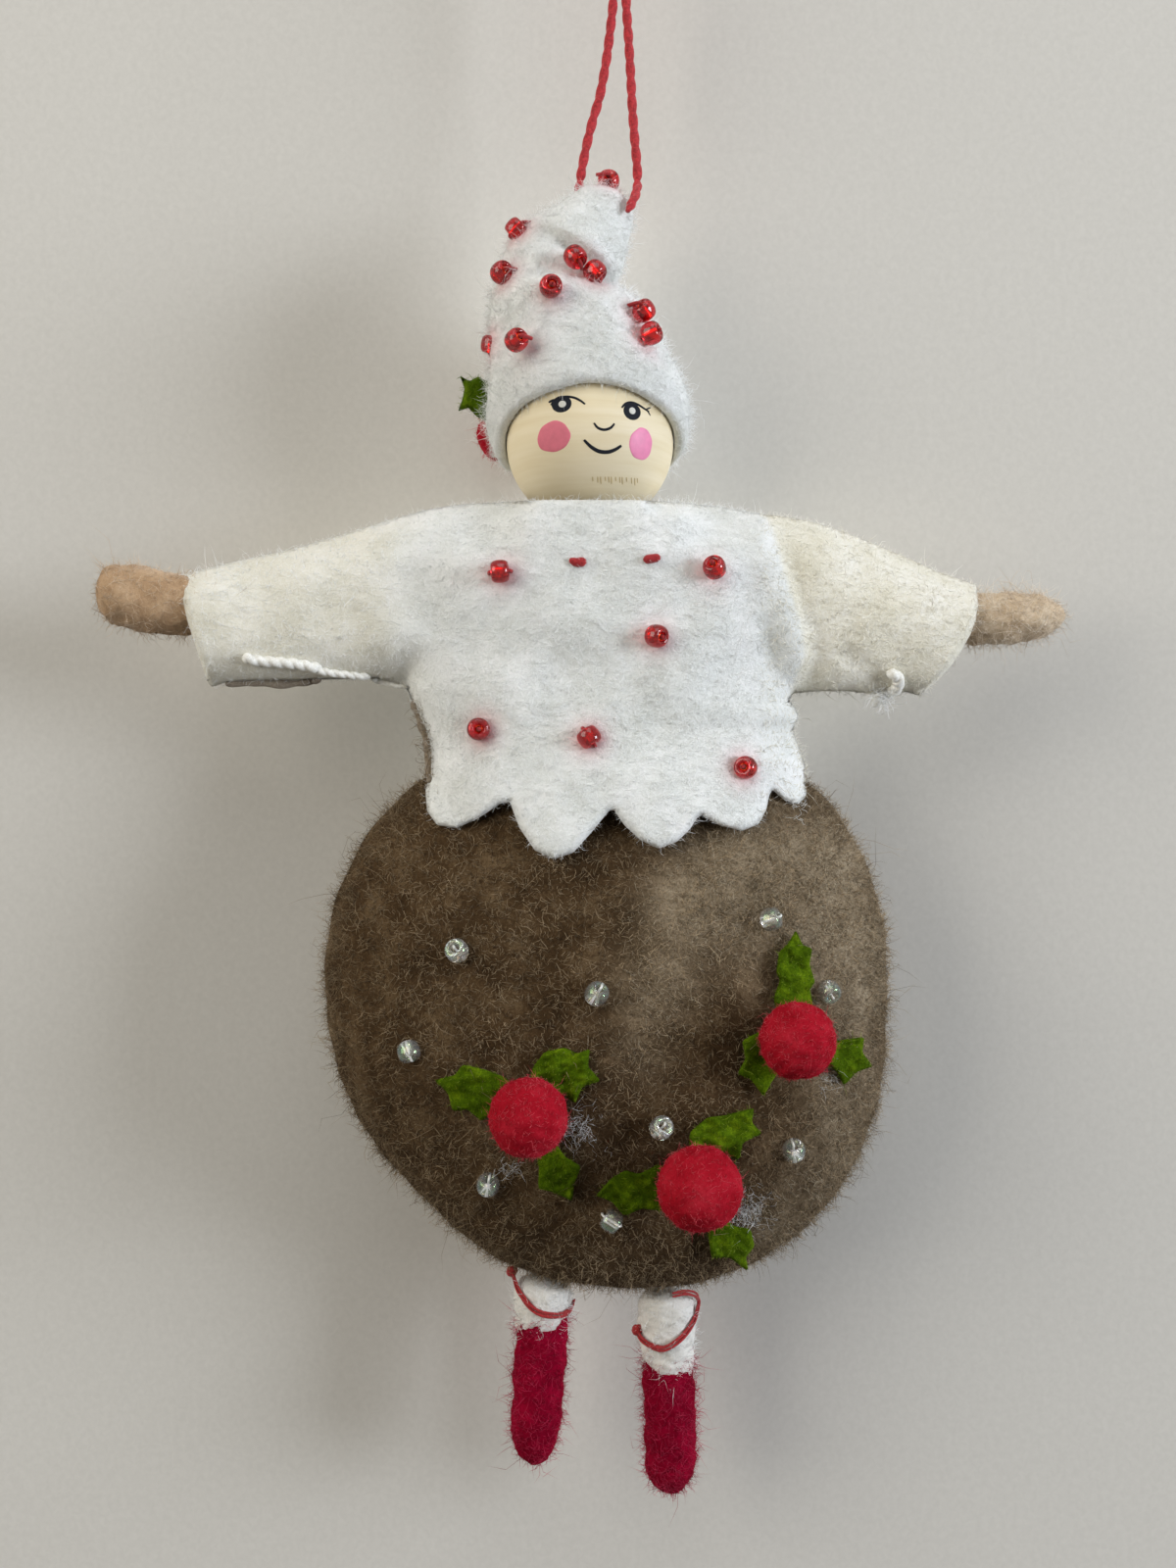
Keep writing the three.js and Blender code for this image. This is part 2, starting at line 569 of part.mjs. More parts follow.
function makeShirt() {
  const pudding = puddingLens(puddingRadius + fitGap, puddingDepth + fitGap, feltWall + 2 * fitGap);
  const arms = armSweep(-1, leftArmDrop, fitGap).add(armSweep(1, rightArmDrop, fitGap));
  const shell = shirtSolid(0, 0, 0)
    .subtract(shirtSolid(feltWall, cutOver, cutOver))
    .subtract(headRoom())
    .subtract(pudding)
    .subtract(arms)
    .subtract(hemCut());
  const away = (shirtWidth + fitGap) / 2;
  const slab = (y) => {
    const tall = shirtHeight + 2 * cutOver;
    return toSolid(box(2 * shirtWidth, shirtWidth, tall).translate(0, y, shirtTopZ - shirtHeight / 2));
  };
  addPiece("shirt_front", shell.intersect(slab(-away)), feltWhite, 0.95);
  addPiece("shirt_back", shell.intersect(slab(away)), feltWhite, 0.95);

  const bottom = (shirtTopZ - puddingZ - puddingEdge(0) - fitGap) / shirtHeight;
  const stuffing = shirtSolid(feltWall + fitGap, 0, 0, stuffingTopShare, bottom)
    .subtract(pudding)
    .subtract(headRoom())
    .subtract(arms)
    .subtract(wireCut(bodyWirePoints))
    .subtract(wireCut(shoulderWirePoints));
  const pieces = stuffing.decompose().sort((a, b) => b.volume() - a.volume());
  addPiece("torso_stuffing", pieces[0], stuffingWhite, 1);
}

// A sleeve's section: round over the arm and flat towards the seam below it.
function sleeveSection(x, z, top, bottom, radius, thin, slant) {
  const points = [];
  const start = Math.PI * sleeveArcStartShare;
  for (let k = 0; k <= sleeveArcPoints; k++) {
    const a = ((Math.PI + 2 * start) * k) / sleeveArcPoints - start;
    const tall = Math.sin(a) > 0 ? top - z : radius;
    points.push([radius * Math.cos(a), z + tall * Math.sin(a)]);
  }
  const low = z - radius;
  const fin = sleeveFinShares.map(([w, s]) => [Math.max(radius * w, thin), low + (bottom - low) * s]);
  fin.push([thin, bottom]);
  points.push(...fin.map(([y, h]) => [-y, h]), ...fin.reverse());
  const share = (h) => (h - bottom) / (top - bottom);
  return points.map(([y, h]) => new THREE.Vector3(x + slant * (share(h) - 1 / 2), y, h));
}

function makeSleeve(name, side, sizes) {
  const { reach, drop, topDrops, cuffHeight, cuffSlant } = sizes;
  const start = shirtWidth / 2 + fitGap;
  const z = shirtTopZ - drop;
  const last = sleevePlaceShares.length - 1;
  const build = (inset) => {
    const rings = sleevePlaceShares.map((s, i) => {
      const over = inset ? cutOver * ((i === last) - (i === 0)) : 0;
      const x = side * (start + (reach - start) * s + over);
      const height = armholeHeight + (cuffHeight - armholeHeight) * s;
      const top = shirtTopZ - topDrops[i];
      const bottom = Math.min(top - height, z - armDiameter / 2 - 2 * feltWall);
      const radius = armDiameter / 2 + fitGap + feltWall;
      const roof = Math.max(top, z + radius) - inset;
      const floor = inset ? bottom + 2 * feltWall : bottom;
      const thin = inset ? fitGap / 2 : feltWall + fitGap / 2;
      return sleeveSection(x, z, roof, floor, radius - inset, thin, side * cuffSlant * s);
    });
    return loft(rings);
  };
  addPiece(name, build(0).subtract(build(feltWall)), feltWhite, 0.95);
}

// An arm lies along X: a ball end at the pivot, a plain roll and a thicker hand.
function makeArm(name, side, sizes) {
  const { reach, drop, sleeveReach, cuffSlant, handDiameter } = sizes;
  const r = armDiameter / 2;
  const hand = handDiameter / 2;
  const length = reach - shoulderOut;
  const cuff = sleeveReach + cuffSlant / 2 + fitGap - shoulderOut;
  const bore = length * armWireShare;
  const mouth = -Math.sqrt(r * r - boreRadius * boreRadius);
  const profile = [[0, bore], [boreRadius, bore], [boreRadius, mouth]];
  armRoundShares.forEach((s) => profile.push([r * Math.sin(s * quarterTurn), -r * Math.cos(s * quarterTurn)]));
  profile.push([r, cuff]);
  profile.push([hand * palmShares[0][0], cuff + hand * palmShares[0][1]]);
  profile.push([hand * palmShares[1][0], cuff + (length - cuff) * palmShares[1][1]]);
  fingertipShares.forEach(([wide, back]) => profile.push([hand * wide, length - hand * back]));
  profile.push([0, length]);
  const arm = turned(profile, armSides).rotateY(side * quarterTurn);
  addPiece(name, toSolid(arm.translate(side * shoulderOut, 0, shirtTopZ - drop)), "#b3935f", 0.95);
  const start = mouth + fitGap;
  const wire = new THREE.CylinderGeometry(wireRadius, wireRadius, bore - fitGap - start, wireSides)
    .rotateZ(quarterTurn)
    .translate(side * (shoulderOut + (bore - fitGap + start) / 2), 0, shirtTopZ - drop);
  addWire(name + "_wire", wire);
}

function makePudding() {
  const openings = [-1, 1].map((side) => {
    const { x, edgeZ } = legPivot(side);
    const deep = puddingSeamWidth + cutOver;
    return toSolid(box(2 * boreRadius, 2 * boreRadius, 2 * deep).translate(x, 0, edgeZ));
  });
  const wires = wasm.Manifold.union([wireCut(bodyWirePoints), wireCut(hipWirePoints()), ...openings]);
  addPiece("pudding_front", puddingPanel(-1).subtract(wires), puddingBrown, 0.95);
  addPiece("pudding_back", puddingPanel(1).subtract(wires), puddingBrown, 0.95);
  const filling = puddingLens(puddingRadius - puddingSeamWidth - fitGap, puddingDepth - feltWall - fitGap);
  addPiece("pudding_stuffing", filling.subtract(wires), stuffingWhite, 1);
}

function makeWires() {
  addWire("body_wire", tube(bodyWirePoints, wireRadius, wireSides, 1));
  addWire("shoulder_wire", tube(shoulderWirePoints, wireRadius, wireSides, wireSteps));
  addWire("hip_wire", tube(hipWirePoints(), wireRadius, wireSides, wireSteps));
}

// Least distance between points of a winding that lie more than half a turn apart, less its thickness.
function leastGap(points) {
  let least = Infinity;
  points.forEach((a, i) => {
    const later = points.slice(i + Math.ceil(threadStepsPerTurn / 2));
    later.forEach((b) => (least = Math.min(least, a.distanceTo(b))));
  });
  return least - threadDiameter;
}

function makeLeg(name, side, sizes) {
  const { drop, bootName, bootDiameter, bootLength } = sizes;
  const { x, z } = legPivot(side);
  const r = legDiameter / 2;
  const core = legCoreDiameter / 2;
  const coreEnd = -drop - bootSocketDepth + fitGap;
  const mouth = legTopHeight * Math.sqrt(1 - (boreRadius / r) ** 2);
  const profile = [[0, coreEnd + core], [boreRadius, coreEnd + core], [boreRadius, mouth]];
  for (const s of legTopShares) {
    profile.push([r * Math.sin(s * quarterTurn), legTopHeight * Math.cos(s * quarterTurn)]);
  }
  profile.push([r, -drop + fitGap], [core, -drop + fitGap]);
  profile.push([core, coreEnd + core * legCoreEndShares[0]]);
  profile.push([core * legCoreEndShares[1], coreEnd], [0, coreEnd]);
  addPiece(name, toSolid(turned(profile.reverse(), legSides).translate(x, 0, z)), "#dcdad2", 0.95);

  const low = coreEnd + core + fitGap;
  const wire = new THREE.CylinderGeometry(wireRadius, wireRadius, mouth - fitGap - low, wireSides)
    .rotateX(quarterTurn)
    .translate(x, 0, z + (mouth - fitGap + low) / 2);
  addWire(name + "_wire", wire);

  const b = bootDiameter / 2;
  const socket = core + fitGap;
  const toe = -drop - bootLength;
  const boot = [[0, -drop - bootSocketDepth], [socket, -drop - bootSocketDepth], [socket, -drop]];
  bootTopShares.forEach(([wide, below]) => boot.push([b * wide, -drop - b * below]));
  boot.push([b * bootWaistShare, (-drop + toe) / 2]);
  bootToeShares.forEach(([wide, above]) => boot.push([b * wide, toe + b * above]));
  boot.push([0, toe]);
  addPiece(bootName, toSolid(turned(boot.reverse(), legSides).translate(x, 0, z)), "#8d1626", 0.95);

  const around = r + fitGap + threadDiameter / 2;
  const fall = threadAbovePivot + drop - threadDiameter;
  const steps = Math.round((fall / threadPitch) * threadStepsPerTurn);
  const points = Array.from({ length: steps + 1 }, (_, k) => {
    const a = (fullTurn * k) / threadStepsPerTurn;
    const down = (threadPitch * k) / threadStepsPerTurn;
    return new THREE.Vector3(x - around * Math.cos(a), -around * Math.sin(a), z + threadAbovePivot - down);
  });
  console.log(name + "_thread least gap to itself " + leastGap(points).toFixed(2));
  addPiece(name + "_thread", tube(points, threadDiameter / 2, threadSides, steps), cordRed, 0.8);
}

// A glass bead: a rounded ring round its own axis.
function beadSolid() {
  const hole = beadHoleDiameter / 2;
  const r = beadDiameter / 2;
  const end = r * beadEndShare;
  const half = beadLength / 2;
  const profile = [[hole, -half], [end, -half], [r, 0], [end, half], [hole, half], [hole, -half]];
  return toSolid(turned(profile, beadSides));
}

// A bead lies on its side, unless its share of a turn is zero: then its hole looks outwards.
function addBead(name, at, out, turnShare, color) {
  const flat = turnShare === 0;
  const bead = addPiece(name, beadSolid(), color, 0.1);
  const toSurface = new THREE.Quaternion().setFromUnitVectors(up, out);
  const turn = new THREE.Quaternion().setFromAxisAngle(up, fullTurn * turnShare);
  const lean = new THREE.Quaternion().setFromAxisAngle(new THREE.Vector3(1, 0, 0), flat ? 0 : quarterTurn);
  bead.quaternion.copy(toSurface.multiply(turn).multiply(lean));
  bead.position.copy(at).addScaledVector(out, (flat ? beadLength : beadDiameter) / 2 + fitGap);
}

function addBeads(table, surface, insideOf, color) {
  for (const [name, [u, v, turnShare]] of Object.entries(table)) {
    const { at, out } = seat(surface, u, v, insideOf(u));
    addBead(name, at, out, turnShare, color);
  }
}

function makeBeads() {
  const headMiddle = new THREE.Vector3(-headLeft, 0, headZ);
  const chestMiddle = new THREE.Vector3(0, 0, shirtTopZ - shirtHeight / 2);
  const puddingMiddle = new THREE.Vector3(0, 0, puddingZ);
  addBead("hat_bead_tip", hatRing(1).middle, up, 1, beadRed);
  addBeads(hatBeadShares, hatSurface, (h) => hatRing(h).middle.lerp(headMiddle, hatMiddleShare), beadRed);
  addBeads(shirtBeadShares, shirtFront, () => chestMiddle, beadRed);
  addBeads(puddingBeadShares, puddingFront, () => puddingMiddle, "#cfd6cf");
}

// A holly leaf as a thin plate that follows the pudding. It starts under the berry and ends in a point.
function leafSolid(place, turnShare, length) {
  const a = fullTurn * turnShare;
  const rows = leafWidthShares.length;
  const across = [-1, 0, 1];
  const point = (row, side, lift) => {
    const out = (length * (row + leafStartShare)) / rows;
    const wide = (puddingRadius * leafSpreadShare * leafWidthShares[row] * side) / 2;
    const x = place.x + out * Math.sin(a) + wide * Math.cos(a);
    const z = place.z - puddingZ + out * Math.cos(a) - wide * Math.sin(a);
    const inside = new THREE.Vector3(0, 0, puddingZ);
    const found = seat(puddingFront, x / puddingRadius, z / puddingRadius, inside);
    return found.at.addScaledVector(found.out, lift);
  };
  const rings = leafWidthShares.map((_, row) => [
    ...across.map((s) => point(row, s, fitGap)),
    ...across.map((s) => point(row, -s, fitGap + leafThickness)),
  ]);
  return loft(rings);
}

function addBerry(name, diameter, at) {
  const berry = addPiece(name, new THREE.SphereGeometry(diameter / 2, berrySides, berryRings), berryRed, 0.95);
  berry.position.copy(at);
}

function makeSprigs() {
  const middle = new THREE.Vector3(0, 0, puddingZ);
  const pudding = puddingLens(puddingRadius, puddingDepth, feltWall + fitGap);
  for (const [number, sprig] of Object.entries(sprigShares)) {
    const { at, out } = seat(puddingFront, sprig.place[0], sprig.place[1], middle);
    const radius = sprigDiscDiameter / 2;
    const disc = new THREE.CylinderGeometry(radius, radius, leafThickness, berrySides)
      .rotateX(quarterTurn)
      .translate(0, 0, fitGap + leafThickness / 2)
      .applyQuaternion(new THREE.Quaternion().setFromUnitVectors(up, out))
      .translate(at.x, at.y, at.z);
    const leaves = sprig.turns.map((turn, k) => leafSolid(at, turn, puddingRadius * sprig.reach[k]));
    const plate = wasm.Manifold.union([toSolid(disc), ...leaves]).subtract(pudding);
    addPiece("holly_sprig_" + number, plate, leafGreen, 0.9);
    const diameter = berryDiameter * sprig.berry;
    addBerry("berry_" + number, diameter, at.addScaledVector(out, diameter / 2 + leafThickness + 2 * fitGap));
  }
}

function makeHatSprig() {
  const [heightShare, turnShare] = hatBerryShares;
  const { at, out } = seat(hatSurface, heightShare, turnShare, new THREE.Vector3(-headLeft, 0, headZ));
  addBerry("hat_berry", hatBerryDiameter, at.addScaledVector(out, hatBerryDiameter / 2 + fitGap));
  const side = hatRing(hatLeafRise / hatHeight).width + headLeft;
  const wide = hatLeafWidth / 2;
  const rows = leafWidthShares.length;
  const upper = leafWidthShares.map((w, k) => [-(hatLeafLength * (k + 1)) / rows, wide * w]);
  const outline = new THREE.Shape();
  outline.moveTo(0, -wide / 2);
  outline.lineTo(0, wide / 2);
  upper.forEach(([x, z]) => outline.lineTo(x, z));
  [...upper].reverse().forEach(([x, z]) => outline.lineTo(x, -z));
  const leaf = new THREE.ExtrudeGeometry(outline, { depth: leafThickness, bevelEnabled: false })
    .rotateX(quarterTurn)
    .translate(hatLeafTuck - side, hatLeafBack, headZ + hatLeafRise);
  addPiece("hat_leaf", toSolid(leaf).subtract(hatSolid(fitGap)), leafGreen, 0.9);
}

makeCord();
makeHat();
makeHead();
makeWires();
makeShirt();
makeSleeve("left_sleeve", -1, {
  reach: leftSleeveReach,
  drop: leftArmDrop,
  topDrops: leftSleeveTopDrops,
  cuffHeight: leftCuffHeight,
  cuffSlant: leftCuffSlant,
});
makeSleeve("right_sleeve", 1, {
  reach: rightSleeveReach,
  drop: rightArmDrop,
  topDrops: rightSleeveTopDrops,
  cuffHeight: rightCuffHeight,
  cuffSlant: rightCuffSlant,
});
makeArm("left_arm", -1, {
  reach: leftArmReach,
  drop: leftArmDrop,
  sleeveReach: leftSleeveReach,
  cuffSlant: leftCuffSlant,
  handDiameter: leftHandDiameter,
});
makeArm("right_arm", 1, {
  reach: rightArmReach,
  drop: rightArmDrop,
  sleeveReach: rightSleeveReach,
  cuffSlant: rightCuffSlant,
  handDiameter: rightHandDiameter,
});
makePudding();
makeLeg("left_leg", -1, {
  drop: leftLegDrop,
  bootName: "left_boot",
  bootDiameter: leftBootDiameter,
  bootLength: leftBootLength,
});
makeLeg("right_leg", 1, {
  drop: rightLegDrop,
  bootName: "right_boot",
  bootDiameter: rightBootDiameter,
  bootLength: rightBootLength,
});
makeBeads();
makeSprigs();
makeHatSprig();

export default group;
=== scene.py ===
"""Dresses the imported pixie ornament: felt, wool, glass beads, a turned wooden head and a twisted cord.

Shapes are worked out in millimetres, in the frame's own axes: X to the right, the face looks to -Y, Z up.
The ornament hangs from the frame's origin. "Depth" is how far something stands before the plane Y = 0.
"""
import json

import bpy
import numpy as np
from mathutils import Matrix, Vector

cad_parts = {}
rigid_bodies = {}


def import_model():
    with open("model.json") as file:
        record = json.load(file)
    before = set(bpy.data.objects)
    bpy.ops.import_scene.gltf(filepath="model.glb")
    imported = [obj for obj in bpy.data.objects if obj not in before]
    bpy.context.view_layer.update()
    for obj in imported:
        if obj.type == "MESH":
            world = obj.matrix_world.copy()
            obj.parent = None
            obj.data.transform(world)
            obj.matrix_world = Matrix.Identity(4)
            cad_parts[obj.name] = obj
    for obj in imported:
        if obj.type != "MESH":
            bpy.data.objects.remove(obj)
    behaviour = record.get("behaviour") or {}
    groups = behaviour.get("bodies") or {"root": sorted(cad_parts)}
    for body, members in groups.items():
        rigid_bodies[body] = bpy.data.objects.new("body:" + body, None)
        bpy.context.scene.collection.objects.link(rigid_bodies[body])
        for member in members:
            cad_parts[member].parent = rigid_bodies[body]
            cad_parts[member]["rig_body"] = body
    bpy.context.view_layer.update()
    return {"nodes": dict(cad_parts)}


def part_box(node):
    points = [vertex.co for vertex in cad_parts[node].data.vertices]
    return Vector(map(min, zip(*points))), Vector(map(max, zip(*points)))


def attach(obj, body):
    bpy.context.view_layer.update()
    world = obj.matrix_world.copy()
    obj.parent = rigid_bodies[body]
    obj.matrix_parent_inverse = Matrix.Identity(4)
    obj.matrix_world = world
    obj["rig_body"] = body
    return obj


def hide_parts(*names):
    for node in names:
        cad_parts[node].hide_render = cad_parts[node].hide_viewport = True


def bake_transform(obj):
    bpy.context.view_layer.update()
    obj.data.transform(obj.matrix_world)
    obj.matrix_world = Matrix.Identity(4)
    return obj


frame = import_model()

MM = 0.001

# ---- sizes that the pieces share, in millimetres ----
FELT = 1.2  # thickness of the shirt's and pudding's felt
HEAD_MIDDLE = np.array([-2.04, 0.0, -83.04])
HEAD_RADIUS = 10.2
SHIRT_TOP = -90.24
SHIRT_HEIGHT = 43.7
CHEST_DEPTH = 9.6
PUDDING_MIDDLE = -152.16
PUDDING_RADIUS = 34.4
PUDDING_DEPTH = 14.0
PUDDING_OUTLINE = np.array([
    0.99, 1.03, 1.075, 1.04, 0.995, 1.025, 1.052, 1.035, 0.991, 0.972, 0.937, 0.967, 0.996, 1.037, 1.049, 1.01,
])  # shares of its radius, clockwise from the top
CAMERA_PLACE = np.array([-2.28, -200.0, -124.8])
PIXEL = 0.12  # millimetres to a pixel of the 1200 x 1600 picture
CORD_COLUMN = 619  # pixels from the picture's left to the cord's middle
HOOK_ABOVE = 240  # pixels from the picture's top up to the hook
TRIM_DEPTH = 12.0  # how far before Y = 0 the trimmings on the pudding lie, on the whole


def from_picture(across, down):
    """Millimetres (x, z) on the plane Y = 0 for a place in the picture."""
    x = (np.asarray(across, float) - CORD_COLUMN) * PIXEL
    z = -(np.asarray(down, float) + HOOK_ABOVE) * PIXEL
    return np.stack([x, z], -1)


def picture_line(places):
    """Millimetres (x, z) for a list of picture places."""
    return from_picture(*zip(*places))


def seen_at(place, depth):
    """The point at that depth that the camera sees over a place (x, z) of the plane Y = 0: a step along the
    line of sight."""
    place = np.asarray(place, float)
    depth = np.asarray(depth, float)
    nearer = 1 - depth / -CAMERA_PLACE[1]
    x = CAMERA_PLACE[0] + (place[..., 0] - CAMERA_PLACE[0]) * nearer
    z = CAMERA_PLACE[2] + (place[..., 1] - CAMERA_PLACE[2]) * nearer
    return np.stack([x, -depth + np.zeros_like(x), z], -1)


# ---- colours and materials ----
def colour(code):
    """Linear RGBA of an sRGB hex code."""
    value = np.array([int(code[i : i + 2], 16) for i in (1, 3, 5)]) / 255
    linear = np.where(value <= 0.04045, value / 12.92, ((value + 0.055) / 1.055) ** 2.4)
    return (*linear, 1.0)


def add_node(tree, kind, settings=None, links=None, stops=()):
    """Adds a node, sets its sockets or properties by name or number, gives a ramp its (place, hex code)
    stops, and links outputs into its sockets."""
    node = tree.nodes.new(kind)
    for key, value in (settings or {}).items():
        if isinstance(key, int) or key in node.inputs:
            node.inputs[key].default_value = value
        else:
            setattr(node, key, value)
    for _ in stops[2:]:
        node.color_ramp.elements.new(0.5)
    for element, (place, code) in zip(node.color_ramp.elements if stops else (), stops):
        element.position, element.color = place, colour(code)
    for key, output in (links or {}).items():
        tree.links.new(output, node.inputs[key])
    return node


def new_material(name):
    """A material with its node tree and its Principled shader."""
    material = bpy.data.materials.new(name)
    material.use_nodes = True
    tree = material.node_tree
    return material, tree, tree.nodes["Principled BSDF"]


def set_sockets(shader, **values):
    """Sets a shader's own sockets by their names, with _ for a space."""
    for name, value in values.items():
        shader.inputs[name.replace("_", " ")].default_value = value


def with_red_bead_glow(tree, shade):
    """The shade, up to 0.6 of the way to pink where the attribute for the beads' glow is 1: painted red light, as
    if shone through the red glass beads onto the wool next to them.
    """
    near = add_node(tree, "ShaderNodeAttribute", {"attribute_name": "red_bead_glow"}).outputs["Fac"]
    part = add_node(tree, "ShaderNodeMath", {"operation": "MULTIPLY", 1: 0.6}, {0: near}).outputs[0]
    pink = add_node(tree, "ShaderNodeMix", {"data_type": "RGBA", 7: colour("#e08088")}, {0: part, 6: shade})
    return pink.outputs[2]


def pattern_over(tree, grain, **settings):
    """Noise over a piece's own coordinates, its grain in millimetres: one number, or one along each axis."""
    place = add_node(tree, "ShaderNodeTexCoord").outputs["Object"]
    scale = 1 / (np.broadcast_to(grain, 3) * MM)
    place = add_node(tree, "ShaderNodeMapping", {"Scale": scale}, {"Vector": place}).outputs["Vector"]
    noise = add_node(tree, "ShaderNodeTexNoise", {"Scale": 1.0, **settings}, {"Vector": place})
    return noise.outputs["Fac"]


def grained(name, grain, stops, relief, noise, **sockets):
    """A material that one pattern, of that grain in millimetres, takes through (place, hex code) stops and
    raises by that share of 0.1 mm."""
    material, tree, shader = new_material(name)
    pattern = pattern_over(tree, grain, **noise)
    shade = add_node(tree, "ShaderNodeValToRGB", links={"Fac": pattern}, stops=stops)
    tree.links.new(shade.outputs["Color"], shader.inputs["Base Color"])
    if relief:
        heights = {"Strength": relief, "Distance": 0.1 * MM}
        bump = add_node(tree, "ShaderNodeBump", heights, {"Height": pattern})
        tree.links.new(bump.outputs["Normal"], shader.inputs["Normal"])
    set_sockets(shader, **sockets)
    return material


def felted_wool(name, shades, fibre=0.5, patch=3.0, relief=0.35, sheen=0.15, aged_and_lit=None, soft=0.0):
    """Needle-felted or pressed wool: matt, cloudy in patches some millimetres wide, with a tangle of fibres that
    are drawn about ten times as thick as real ones so that they show. shades are three hex codes, dark to light,
    and three more give a second colour where the "tone" attribute is 1: the sleeves' yellowed parts, and the
    pudding's paler parts, which are pale wool and, on its right half, painted light."""
    material, tree, shader = new_material(name)
    tangle = pattern_over(tree, fibre, Detail=5.0, Roughness=0.7, Distortion=2.2)
    cloud = pattern_over(tree, patch, Detail=3.0, Roughness=0.55)
    part = add_node(tree, "ShaderNodeMath", {"operation": "MULTIPLY", 1: 0.45}, {0: cloud}).outputs[0]
    rest = {"operation": "MULTIPLY_ADD", 1: 0.55}
    both = add_node(tree, "ShaderNodeMath", rest, {0: tangle, 2: part}).outputs[0]

    def dyed(codes):
        """The colour of tangle and clouds together, through three shades."""
        stops = list(zip((0.33, 0.5, 0.66), codes.split()))
        return add_node(tree, "ShaderNodeValToRGB", links={"Fac": both}, stops=stops).outputs["Color"]

    shade = dyed(shades)
    if aged_and_lit:
        share = add_node(tree, "ShaderNodeAttribute", {"attribute_name": "tone"}).outputs["Fac"]
        mix = add_node(tree, "ShaderNodeMix", {"data_type": "RGBA"}, {0: share, 6: shade, 7: dyed(aged_and_lit)})
        shade = mix.outputs[2]
    tree.links.new(with_red_bead_glow(tree, shade), shader.inputs["Base Color"])
    bump = add_node(tree, "ShaderNodeBump", {"Strength": relief, "Distance": 0.3 * MM}, {"Height": tangle})
    tree.links.new(bump.outputs["Normal"], shader.inputs["Normal"])
    set_sockets(shader, Roughness=0.95, Sheen_Weight=sheen, Sheen_Roughness=0.5, Specular_IOR_Level=0.04)
    set_sockets(shader, Subsurface_Weight=soft, Subsurface_Scale=0.6 * MM, Subsurface_Radius=(1.0, 1.0, 1.0))
    return material


def loose_wool(name, dark, light, sheen=0.2):
    """Single wool fibres: matt, each with its own shade between two, kept in the "shade" attribute."""
    material, tree, shader = new_material(name)
    own = add_node(tree, "ShaderNodeAttribute", {"attribute_name": "shade"}).outputs["Fac"]
    shade = add_node(tree, "ShaderNodeValToRGB", links={"Fac": own}, stops=[(0.0, dark), (1.0, light)])
    tree.links.new(with_red_bead_glow(tree, shade.outputs["Color"]), shader.inputs["Base Color"])
    set_sockets(shader, Roughness=0.85, Sheen_Weight=sheen, Sheen_Roughness=0.4, Specular_IOR_Level=0.08)
    return material


def spun_thread(name, dark, light, spacing=0.3, gloss=0.75):
    """Spun cotton or floss: fine plies across the thread, told apart by shade and relief."""
    noise = {"Detail": 3.0, "Roughness": 0.6, "Distortion": 0.8}
    sockets = {"Roughness": gloss, "Sheen_Weight": 0.2, "Specular_IOR_Level": 0.3}
    return grained(name, spacing, [(0.35, dark), (0.65, light)], 0.4, noise, **sockets)


def bead_glass(name, code, clear=1.0, film=0.0, waves=0.15):
    """Pressed glass, as clear as said, with shallow dents about a millimetre wide. A film, in nanometres,
    gives a clear bead its rainbow coat."""
    material, tree, shader = new_material(name)
    set_sockets(shader, Base_Color=colour(code), Roughness=0.04, Transmission_Weight=clear, IOR=1.52)
    set_sockets(shader, Thin_Film_Thickness=film, Thin_Film_IOR=1.7 if film else 1.33)
    heights = {"Strength": waves, "Distance": 0.1 * MM}
    bump = add_node(tree, "ShaderNodeBump", heights, {"Height": pattern_over(tree, 1.1, Detail=1.0)})
    tree.links.new(bump.outputs["Normal"], shader.inputs["Normal"])
    return material


def paint(name, code, gloss):
    """Paint or ink brushed on the wood: its brightness wanders by 15 % over strokes about a millimetre
    wide."""
    material, tree, shader = new_material(name)
    brush = pattern_over(tree, 0.8, Detail=3.0)
    load = add_node(tree, "ShaderNodeMapRange", {"To Min": 0.85, "To Max": 1.15}, {"Value": brush})
    value = load.outputs["Result"]
    coat = add_node(tree, "ShaderNodeHueSaturation", {"Color": colour(code)}, {"Value": value})
    tree.links.new(coat.outputs["Color"], shader.inputs["Base Color"])
    set_sockets(shader, Roughness=gloss, Specular_IOR_Level=0.15)
    return material


# Carded wool pressed into a sheet: matt, cloudy and hairy. The sleeves' felt has yellowed to ivory.
white_felt = felted_wool(
    "pressed_white_wool_felt", "#d5d7d1 #ebedea #fbfbfa", fibre=0.6, patch=6.0, relief=0.6,
    aged_and_lit="#d8d2bc #ece8d8 #faf8f0", soft=0.12,
)
# The loose ends of that felt, which make its edges glow against the light.
white_fibres = loose_wool("loose_white_wool", "#e8eae7", "#fcfcfc")
ivory_fibres = loose_wool("loose_ivory_wool", "#e4dfce", "#fcfaf3")
# Undyed brown wool pressed with paler hairs: dark and deep where it is clean, grey-brown where they gather, and
# paler still on the right half, where light from that side is painted in.
brown_felt = felted_wool(
    "pressed_brown_wool_felt", "#2a1f13 #4d3b27 #78644a", fibre=0.6, patch=4.5, relief=0.6, sheen=0.02,
    aged_and_lit="#594a37 #94846c #bdae96",
)
brown_fibres = loose_wool("loose_brown_wool", "#35281a", "#b8a282", sheen=0.02)
grey_fibres = loose_wool("loose_grey_brown_wool", "#6f614b", "#c9bba2", sheen=0.02)
# Wool rolled and needled hard for the hands: a skin-like tan, the right one hairier, and paler as painted light
# from the right.
tan_felt = felted_wool("needle_felted_tan_wool", "#9a7c5f #b59675 #cbb091")
painted_lit_tan_felt = felted_wool("needle_felted_tan_wool_painted_lit", "#b0977b #cab497 #e2d2ba")
tan_fibres = loose_wool("loose_tan_wool", "#a88b6d", "#e6d5bd")
painted_lit_tan_fibres = loose_wool("loose_tan_wool_painted_lit", "#b9a48b", "#f6ecdc")
